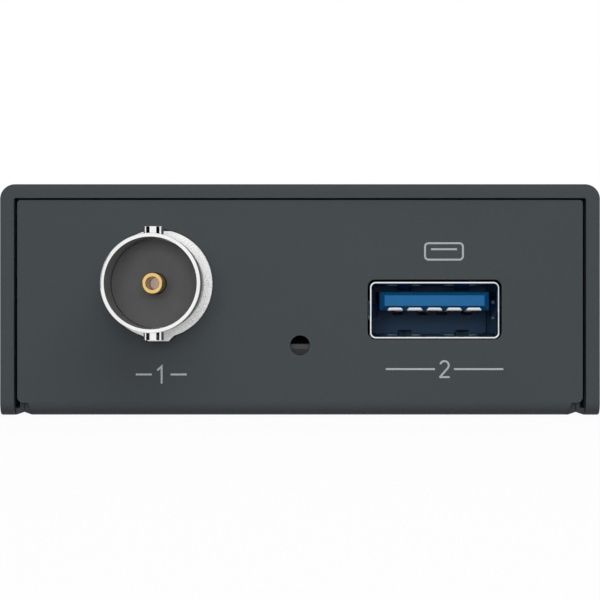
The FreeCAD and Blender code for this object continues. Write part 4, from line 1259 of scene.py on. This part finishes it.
@dataclass(frozen=True)
class UsbShell:
    """The USB socket's drawn steel shell, with its windows, spring fingers and legs.

    The rim is the rolled mouth's section, as places behind the mouth and inside the
    outline. The finger's bend is given as places behind the mouth and in from the wall.
    """

    centre: Flat = (13.53, 10.56)
    half_size: Flat = (6.5, 2.84)
    sheet: float = 0.3
    corner: float = 0.58
    tightest_corner: float = 0.28
    corner_steps: int = 8
    front_y: float = -50.25
    rear_y: float = -32.35
    rim: tuple[Flat, ...] = (
        (0.07, 0.0), (0.035, 0.0), (0.0105, 0.0105), (0.0, 0.035), (0.0, 0.12),
        (0.005, 0.14), (0.03, 0.16), (0.2, 0.252), (0.45, 0.292), (0.7, 0.3),
    )
    window_start: float = 1.1
    window_end: float = 5.65
    finger_spread: float = 2.9
    finger_width: float = 1.32
    window_half: float = 1.7
    side_window_half: float = 0.95
    finger_sheet: float = 0.24
    finger_bend: tuple[Flat, ...] = (
        (1.12, -0.06), (1.38, 0.1), (1.7, 0.33), (2.05, 0.51), (2.4, 0.57), (2.8, 0.54),
        (3.7, 0.36), (5.6, 0.02), (5.9, 0.0),
    )
    foot_half: float = 5.65
    foot_start: float = 11.8
    leg_width: float = 1.4
    leg_places: tuple[float, ...] = (4.475, 12.53)
    leg_foot_z: float = 4.1
    leg_thinning: float = 0.01
    leg_root: float = 0.1

    def outline(self, inset: float) -> list[Flat]:
        """The shell's outline, anticlockwise from its lower right corner.

        Args:
            inset: how far inside the full outline it runs.

        Returns:
            The points as x and z, with one at each side of each window.
        """
        reach_x, reach_z = (half - inset for half in self.half_size)
        radius = max(self.corner - inset, self.tightest_corner)
        stops_x = [
            -self.foot_half,
            -self.finger_spread - self.window_half,
            -self.finger_spread + self.window_half,
            self.finger_spread - self.window_half,
            self.finger_spread + self.window_half,
            self.foot_half,
        ]
        stops_z = [-self.side_window_half, self.side_window_half]
        flats = (
            [(reach_x, z) for z in stops_z],
            [(x, reach_z) for x in stops_x[::-1]],
            [(-reach_x, z) for z in stops_z[::-1]],
            [(x, -reach_z) for x in stops_x],
        )
        corners = ((1, 1, 0), (-1, 1, 90), (-1, -1, 180), (1, -1, 270))
        points = []
        for flat, (side_x, side_z, start) in zip(flats, corners):
            points += flat
            for step in range(self.corner_steps + 1):
                angle = math.radians(start + 90 * step / self.corner_steps)
                points.append((
                    side_x * (reach_x - radius) + radius * math.cos(angle),
                    side_z * (reach_z - radius) + radius * math.sin(angle),
                ))
        return [(self.centre[0] + x, self.centre[1] + z) for x, z in points]

    def add_sheet(self, draft: MeshDraft) -> None:
        """Draw the shell's sheet with a rounded mouth and its windows.

        Args:
            draft: the mesh that it goes into.
        """
        front, rear = self.front_y, self.rear_y
        breaks = (front + self.window_start, front + self.window_end, front + self.foot_start)
        inner_rear = rear - self.sheet
        rows = [(rear, 0.0), (inner_rear, 0.0), *((y, 0.0) for y in breaks[::-1])]
        rows += [(front + behind, inset) for behind, inset in self.rim]
        first_inner = len(rows)
        rows += [*((y, self.sheet) for y in breaks), (inner_rear, self.sheet)]
        outlines = [self.outline(inset) for _, inset in rows]
        count = len(outlines[0])
        side, top, corner = 2, 6, self.corner_steps + 1
        top_start = side + corner
        left_start = top_start + top + corner
        low_start = left_start + side + corner
        fingers = (3, 4, first_inner, first_inner + 1)
        foot = (1, 2, first_inner + 2, first_inner + 3)
        starts = (top_start + 1, top_start + 3, low_start + 1, low_start + 3, 0, left_start)
        windows = [(fingers, start, start + 1) for start in starts]
        windows.append((foot, low_start, low_start + top - 1))
        open_cells = set()
        faces = []
        for ring, first, last in windows:
            out_back, out_front, in_front, in_back = ring
            for column in range(first, last):
                open_cells |= {(out_back, column), (in_front, column)}
                for outer, inner in ((out_front, in_front), (out_back, in_back)):
                    a, b = outer * count + column, inner * count + column
                    faces.append((a, a + 1, b + 1, b))
            for column in (first, last):
                faces.append(tuple(row * count + column for row in ring))
        for row in range(len(rows) - 1):
            for column in range(count):
                if (row, column) not in open_cells:
                    after = (column + 1) % count
                    low, high = row * count, (row + 1) * count
                    faces.append((low + column, low + after, high + after, high + column))
        faces.append(tuple(range(count)))
        faces.append(tuple(range((len(rows) - 1) * count, len(rows) * count)))
        draft.add([(x, y, z) for (y, _), outline in zip(rows, outlines) for x, z in outline], faces)

    def add_finger(self, draft: MeshDraft, middle: Flat, inward: Flat) -> None:
        """Bend one spring finger from its root in the wall over its crest to its curled tip."""
        points = [(self.front_y + behind, rise) for behind, rise in self.finger_bend]
        draft.add_ribbon(middle, inward, points, [self.finger_width] * len(points), self.finger_sheet)

    def build(self) -> None:
        """Form the shell, which stands for the plain one."""
        draft = MeshDraft()
        self.add_sheet(draft)
        x, z = self.centre
        wall_x, wall_z = (half - self.sheet / 2 for half in self.half_size)
        for side in (-1, 1):
            for spread in (-self.finger_spread, self.finger_spread):
                self.add_finger(draft, (x + spread, z + side * wall_z), (0, -side))
            self.add_finger(draft, (x + side * wall_x, z), (-side, 0))
            for place in self.leg_places:
                middle = (x + side * wall_x, self.front_y + place)
                half, thin = self.leg_width / 2, self.sheet / 2 - self.leg_thinning
                top = z - self.half_size[1] + self.corner + self.leg_root
                low_corner = (middle[0] - thin, middle[1] - half, self.leg_foot_z)
                draft.add_block(low_corner, (middle[0] + thin, middle[1] + half, top))
        shell = draft.build("usb_a_formed_shell", DRAWN_STEEL, "steel_shell")
        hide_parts("usb_a_shell")


@dataclass(frozen=True)
class UsbSocket:
    """The USB socket's blue body, formed contacts and riser, in its shell.

    The pad's nose is given as places behind its tip and above its flat part. The
    spring's bend is given as places behind its crest and above the tongue's underside.
    """

    centre_x: float = 13.53
    front_y: float = -49.95
    tongue_low: float = 10.53
    bevel_length: float = 0.6
    pad_pitch: float = 1.98
    pad_width: float = 1.53
    shoulder_width: float = 1.415
    nose_width: float = 1.14
    nose_bend: tuple[Flat, ...] = ((0.0, 0.26), (0.03, 0.12), (0.1, 0.04), (0.22, 0.0))
    nose_setback: float = 0.04
    pad_proud: float = 0.05
    pad_length: float = 2.6
    pad_step: float = 1.0
    pad_rise: float = 0.9
    pad_tail_setback: float = 1.6
    inner_width: float = 1.5
    spring_places: tuple[float, ...] = (-3.5, -1.0, 1.0, 3.5)
    spring_width: float = 1.0
    spring_tip_width: float = 0.8
    spring_crest: float = 3.75
    spring_bend: tuple[Flat, ...] = ((-1.0, -0.1), (-0.3, -0.37), (0.0, -0.45), (0.3, -0.41), (2.5, 0.0))
    spring_tail_setback: float = 3.6
    tail_widths: Flat = (0.6, 0.5)
    sheet: float = 0.15
    rear_y: float = -32.35
    foot_z: float = 4.1

    def add_pad(self, draft: MeshDraft, x: float) -> None:
        """Lay one flat contact under the tongue, with its nose formed up over the bevel.

        Args:
            draft: the mesh that it goes into.
            x: its middle.
        """
        under = self.tongue_low - self.pad_proud + self.sheet / 2
        nose_y = self.front_y + self.nose_setback
        flat_end = self.front_y + self.bevel_length + self.pad_length
        inside = self.tongue_low + self.pad_rise
        rear = self.rear_y - self.pad_tail_setback
        path = [(nose_y + behind, under + rise) for behind, rise in self.nose_bend]
        path += [(flat_end, under), (flat_end + self.pad_step, inside), (rear, inside), (rear, self.foot_z)]
        widths = [self.nose_width, self.shoulder_width, self.pad_width, self.pad_width]
        widths += [self.inner_width, self.inner_width, *self.tail_widths]
        draft.add_ribbon((x, 0.0), (0.0, 1.0), path, widths, self.sheet)

    def add_spring(self, draft: MeshDraft, x: float) -> None:
        """Run one spring contact under the tongue, with its crest hanging below.

        Args:
            draft: the mesh that it goes into.
            x: its middle.
        """
        under = self.tongue_low - self.pad_proud + self.sheet / 2
        crest = self.front_y + self.spring_crest
        rear = self.rear_y - self.spring_tail_setback
        path = [(crest + behind, under + rise) for behind, rise in self.spring_bend]
        path += [(rear, under), (rear, self.foot_z)]
        widths = [self.spring_tip_width, *[self.spring_width] * 4, *self.tail_widths]
        draft.add_ribbon((x, 0.0), (0.0, 1.0), path, widths, self.sheet)

    def build(self) -> None:
        """Form the shell and the contacts, and dress the body and the riser."""
        UsbShell().build()
        pads, springs = MeshDraft(), MeshDraft()
        for step in range(-2, 3):
            self.add_pad(pads, self.centre_x + step * self.pad_pitch)
        for place in self.spring_places:
            self.add_spring(springs, self.centre_x + place)
        for piece in (
            pads.build("usb_a_formed_pads", PAD_TIN, "gold"),
            springs.build("usb_a_formed_springs", SHADED_SPRING_METAL, "gold"),
        ):
            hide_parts("usb_a_contacts")
        dress("usb_a_housing", TONGUE_PLASTIC)
        dress("usb_a_riser", BLACK_PLASTIC)


@dataclass(frozen=True)
class ResetButton:
    """The reset plunger behind its pin hole, with its switch."""

    edge: float = 0.04

    def build(self) -> None:
        """Dress the plunger, the switch body and the snap disc."""
        soften(dress("reset_plunger", PLUNGER_PLASTIC), self.edge)
        dress("reset_switch_body", GAP_SHADE_BLACK)
        dress("reset_dome", TINNED_STEEL)


@dataclass(frozen=True)
class RearSockets:
    """The network and power sockets and the status lights."""

    edge: float = 0.05

    def build(self) -> None:
        """Dress the sockets' nodes and the lights."""
        for node, finish in (
            ("rj45_shell", TINNED_STEEL),
            ("usb_c_shell", TINNED_STEEL),
            ("rj45_insert", BLACK_PLASTIC),
            ("usb_c_insert", BLACK_PLASTIC),
            ("light_pipes", CLEAR),
            ("rj45_lenses", CLEAR),
        ):
            soften(dress(node, finish), self.edge)
        dress("rj45_contacts", GOLD)
        dress("usb_c_contacts", GOLD)
        dress("status_leds", CLEAR)


@dataclass(frozen=True)
class TripodNut:
    """The pressed-in nut under the case, with a real cut thread."""

    shank_radius: float = 4.3
    flange_radius: float = 5.5
    sheet: float = 1.2
    height: float = 6.2
    core_radius: float = 2.6
    thread_radius: float = 3.17
    pitch: float = 1.27
    mouth_chamfer: float = 0.3
    edge: float = 0.12
    flank_slope: float = 2.6
    core_flat: float = 0.15
    steps: int = 72
    rows_per_turn: int = 12

    def thread_row(self, z: float) -> list[Point]:
        """The bore's points at one height, on the flanks of the thread.

        Args:
            z: the height.

        Returns:
            The points, once round the bore.
        """
        row = []
        for step in range(self.steps):
            turn = step / self.steps
            phase = (z / self.pitch + turn) % 1.0
            depth = min(1.0, max(0.0, abs(phase - 0.5) * self.flank_slope - self.core_flat))
            radius = self.core_radius + (self.thread_radius - self.core_radius) * depth
            radius = max(radius, self.core_radius + self.mouth_chamfer - z)
            angle = 2 * math.pi * turn
            row.append((radius * math.cos(angle), radius * math.sin(angle), z))
        return row

    def build(self) -> None:
        """Make the nut, which stands for the plain one."""
        count = round(self.height / self.pitch * self.rows_per_turn)
        bore = [self.thread_row(self.height * index / count) for index in range(count + 1)]
        edge = self.edge
        outside = [
            (self.shank_radius - edge, 0.0),
            (self.shank_radius, edge),
            (self.shank_radius, self.sheet),
            (self.flange_radius - edge, self.sheet),
            (self.flange_radius, self.sheet + edge),
            (self.flange_radius, self.height - edge),
            (self.flange_radius - edge, self.height),
        ]
        rows = [
            [(x, y, z) for x, y in round_points((0.0, 0.0), radius, self.steps)] for radius, z in outside
        ]
        draft = MeshDraft()
        draft.add_grid([bore[0]] + rows + bore[::-1], True)
        nut = draft.build("tripod_nut_threaded", ZINC, "nut_steel", sharp=28.0)
        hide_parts("tripod_nut")


@dataclass(frozen=True)
class Fasteners:
    """The cover's countersunk screws and the board's screws and standoffs."""

    edge: float = 0.04

    def build(self) -> None:
        """Dress the fasteners."""
        soften(dress("cover_screws", BLACK_OXIDE), self.edge)
        dress("board_standoffs", ZINC)
        dress("board_screws", ZINC)


@dataclass(frozen=True)
class BoardAssembly:
    """The board inside the case, with its chips and the heat path."""

    edge: float = 0.06

    def build(self) -> None:
        """Dress the board's nodes."""
        dress("main_board", BOARD_MASK)
        for node in (
            "processor", "memory_chips", "flash_chip", "network_chip", "video_driver_chip",
            "power_chips", "power_inductors", "isolation_transformer", "chip_passives",
        ):
            soften(dress(node, CHIP_EPOXY), self.edge)
        for node in ("shield_can", "crystals"):
            soften(dress(node, TINNED_STEEL), self.edge)
        for node in ("bulk_capacitors", "heat_spreader"):
            soften(dress(node, MILLED), self.edge)
        dress("heat_spreader_pins", BLACK_PLASTIC)
        dress("insulating_film", FILM)
        for node in ("thermal_pad_chip", "thermal_pad_lower", "thermal_pad_top"):
            dress(node, SOFT_PAD)


@dataclass(frozen=True)
class Lamp:
    """A soft square lamp that points at the object."""

    name: str
    place: Point
    size: float
    watts: float

    def build(self, aim: Point) -> None:
        """Hang the lamp and point it.

        Args:
            aim: the point that it faces, in millimetres.
        """
        data = bpy.data.lights.new(self.name, "AREA")
        data.shape = "SQUARE"
        data.size = self.size * MM
        data.energy = self.watts
        lamp = bpy.data.objects.new(self.name, data)
        lamp.location = Vector(self.place) * MM
        facing = Vector(aim) - Vector(self.place)
        lamp.rotation_euler = facing.to_track_quat("-Z", "Y").to_euler()
        lamp.visible_glossy = False
        bpy.context.scene.collection.objects.link(lamp)


@dataclass(frozen=True)
class Card:
    """A dark card, between two directions seen from the coaxial socket's lugs."""

    name: str
    start_angle: float
    end_angle: float
    distance: float = 130.0
    height: float = 110.0
    centre: Flat = (-14.2, -57.4)

    def corners(self) -> list[Point]:
        """The card's corners: it stands on the floor and faces the socket.

        Returns:
            The corners in millimetres.
        """
        middle = math.radians((self.start_angle + self.end_angle) / 2)
        half_turn = math.radians(abs(self.end_angle - self.start_angle) / 2)
        half = self.distance * math.tan(half_turn)
        away = Vector((math.sin(middle), -math.cos(middle), 0))
        along = Vector((math.cos(middle), math.sin(middle), 0)) * half
        foot = Vector((*self.centre, 0)) + away * self.distance
        rise = Vector((0, 0, self.height))
        return [tuple(p) for p in (foot - along, foot + along, foot + along + rise, foot - along + rise)]


@dataclass(frozen=True)
class Studio:
    """A white floor, white surroundings, soft lamps, dark cards and the camera."""

    floor_half: float = 3000.0
    floor_drop: float = 0.02
    floor_white: float = 0.945
    floor_paint: Colour = (0.95, 0.95, 0.95)
    floor_bounce: float = 0.25
    ambient: float = 0.3
    cards: tuple[Card, ...] = (
        Card("card_left", -93.0, -43.0),
        Card("card_right", 34.0, 75.0),
    )
    card_paint: Colour = (0.012, 0.012, 0.013)
    card_weave: float = 4.0
    card_level: float = 0.7
    camera_place: Point = (0.0, -274.15, 11.58)
    lens: float = 133.8
    sensor: float = 36.0
    nearest: float = 10.0
    lamps: tuple[Lamp, ...] = (
        Lamp("key_lamp", (90.0, -480.0, 360.0), 420.0, 1.0),
        Lamp("fill_lamp", (-20.0, -560.0, 12.0), 180.0, 2.2),
        Lamp("back_lamp", (60.0, 520.0, 360.0), 420.0, 2.2),
    )
    aim: Point = (0.0, 0.0, 10.0)

    @staticmethod
    def seen_straight(sheet: NodeSheet) -> Shade:
        """1 for camera, glossy and transmission rays, which see plain white.

        Args:
            sheet: the nodes of the material or world.

        Returns:
            The mask.
        """
        path = sheet.node("ShaderNodeLightPath", {}, {})
        rays = [
            Shade(sheet, path.outputs[name])
            for name in ("Is Camera Ray", "Is Glossy Ray", "Is Transmission Ray")
        ]
        return rays[0].larger(rays[1]).larger(rays[2])

    def build_world(self) -> None:
        """Plain light all round, which the camera and metal see as white."""
        world = bpy.data.worlds.new("surroundings")
        world.use_nodes = True
        bpy.context.scene.world = world
        sheet = NodeSheet(world.node_tree)
        level = self.seen_straight(sheet) * (1 - self.ambient) + self.ambient
        light = sheet.value("ShaderNodeBackground", {}, {"Color": (*WHITE, 1.0), "Strength": level})
        sheet.node("ShaderNodeOutputWorld", {}, {"Surface": light})

    def floor_material(self) -> bpy.types.Material:
        """White paint that the camera sees nearly plain, and nothing from below.

        Returns:
            The material.
        """
        material = bpy.data.materials.new("floor_paint")
        material.use_nodes = True
        sheet = NodeSheet(material.node_tree)
        straight = self.seen_straight(sheet)
        paint = sheet.mixed(straight, tinted(self.floor_paint, self.floor_bounce), self.floor_paint)
        plain = sheet.value("ShaderNodeBsdfDiffuse", {}, {"Color": paint})
        glow = sheet.value("ShaderNodeEmission", {}, {"Color": (*WHITE, 1.0), "Strength": 1.0})
        share = straight * self.floor_white
        top = sheet.value("ShaderNodeMixShader", {}, {0: share, 1: plain, 2: glow})
        back = sheet.value("ShaderNodeNewGeometry", {}, {}, "Backfacing")
        clear = sheet.value("ShaderNodeBsdfTransparent", {}, {})
        both = sheet.value("ShaderNodeMixShader", {}, {0: back, 1: top, 2: clear})
        sheet.node("ShaderNodeOutputMaterial", {}, {"Surface": both})
        return material

    @staticmethod
    def stage_sheet(name: str, corners: Sequence[Point], material: bpy.types.Material) -> bpy.types.Object:
        """Set up a flat sheet that isn't part of the object.

        Args:
            name: its name.
            corners: its four corners in millimetres.
            material: what it is painted with.

        Returns:
            The sheet.
        """
        mesh = bpy.data.meshes.new(name)
        mesh.from_pydata([Vector(corner) * MM for corner in corners], [], [(0, 1, 2, 3)])
        mesh.materials.append(material)
        sheet = bpy.data.objects.new(name, mesh)
        bpy.context.scene.collection.objects.link(sheet)
        return sheet

    def build_cards(self) -> None:
        """Stand a dark card on each side, which only polished metal shows."""
        material = bpy.data.materials.new("card_paint")
        material.use_nodes = True
        sheet = NodeSheet(material.node_tree)
        weave = sheet.noise(self.card_weave, 2.0)
        dark = tinted(self.card_paint, self.card_level)
        paint = sheet.ramp(weave, [(0.3, dark), (0.7, self.card_paint)])
        plain = sheet.value("ShaderNodeBsdfDiffuse", {}, {"Color": paint})
        sheet.node("ShaderNodeOutputMaterial", {}, {"Surface": plain})
        for card in self.cards:
            stood = self.stage_sheet(card.name, card.corners(), material)
            stood.visible_camera = False
            stood.visible_diffuse = False
            stood.visible_transmission = False
            stood.visible_shadow = False

    def build_camera(self) -> None:
        """Stand the camera where the photograph was taken from."""
        data = bpy.data.cameras.new("camera")
        data.lens = self.lens
        data.sensor_width = self.sensor
        data.clip_start = self.nearest * MM
        camera = bpy.data.objects.new("camera", data)
        camera.location = Vector(self.camera_place) * MM
        camera.rotation_euler = (math.radians(90), 0, 0)
        bpy.context.scene.collection.objects.link(camera)
        bpy.context.scene.camera = camera

    def build(self) -> None:
        """Set up the studio."""
        bpy.context.scene.view_settings.view_transform = "Standard"
        self.build_camera()
        self.build_world()
        half, level = self.floor_half, -self.floor_drop
        corners = [(-half, -half, level), (half, -half, level), (half, half, level), (-half, half, level)]
        self.stage_sheet("floor", corners, self.floor_material())
        self.build_cards()
        for lamp in self.lamps:
            lamp.build(self.aim)


def main() -> None:
    """Build the studio and dress the decoder, piece by piece."""
    logging.basicConfig(level=logging.INFO, format="%(message)s")
    for group in (
        Studio(),
        Case(),
        PanelMarks(),
        VideoSocket(),
        UsbSocket(),
        ResetButton(),
        RearSockets(),
        TripodNut(),
        Fasteners(),
        BoardAssembly(),
    ):
        group.build()


if __name__ == "__main__":
    main()
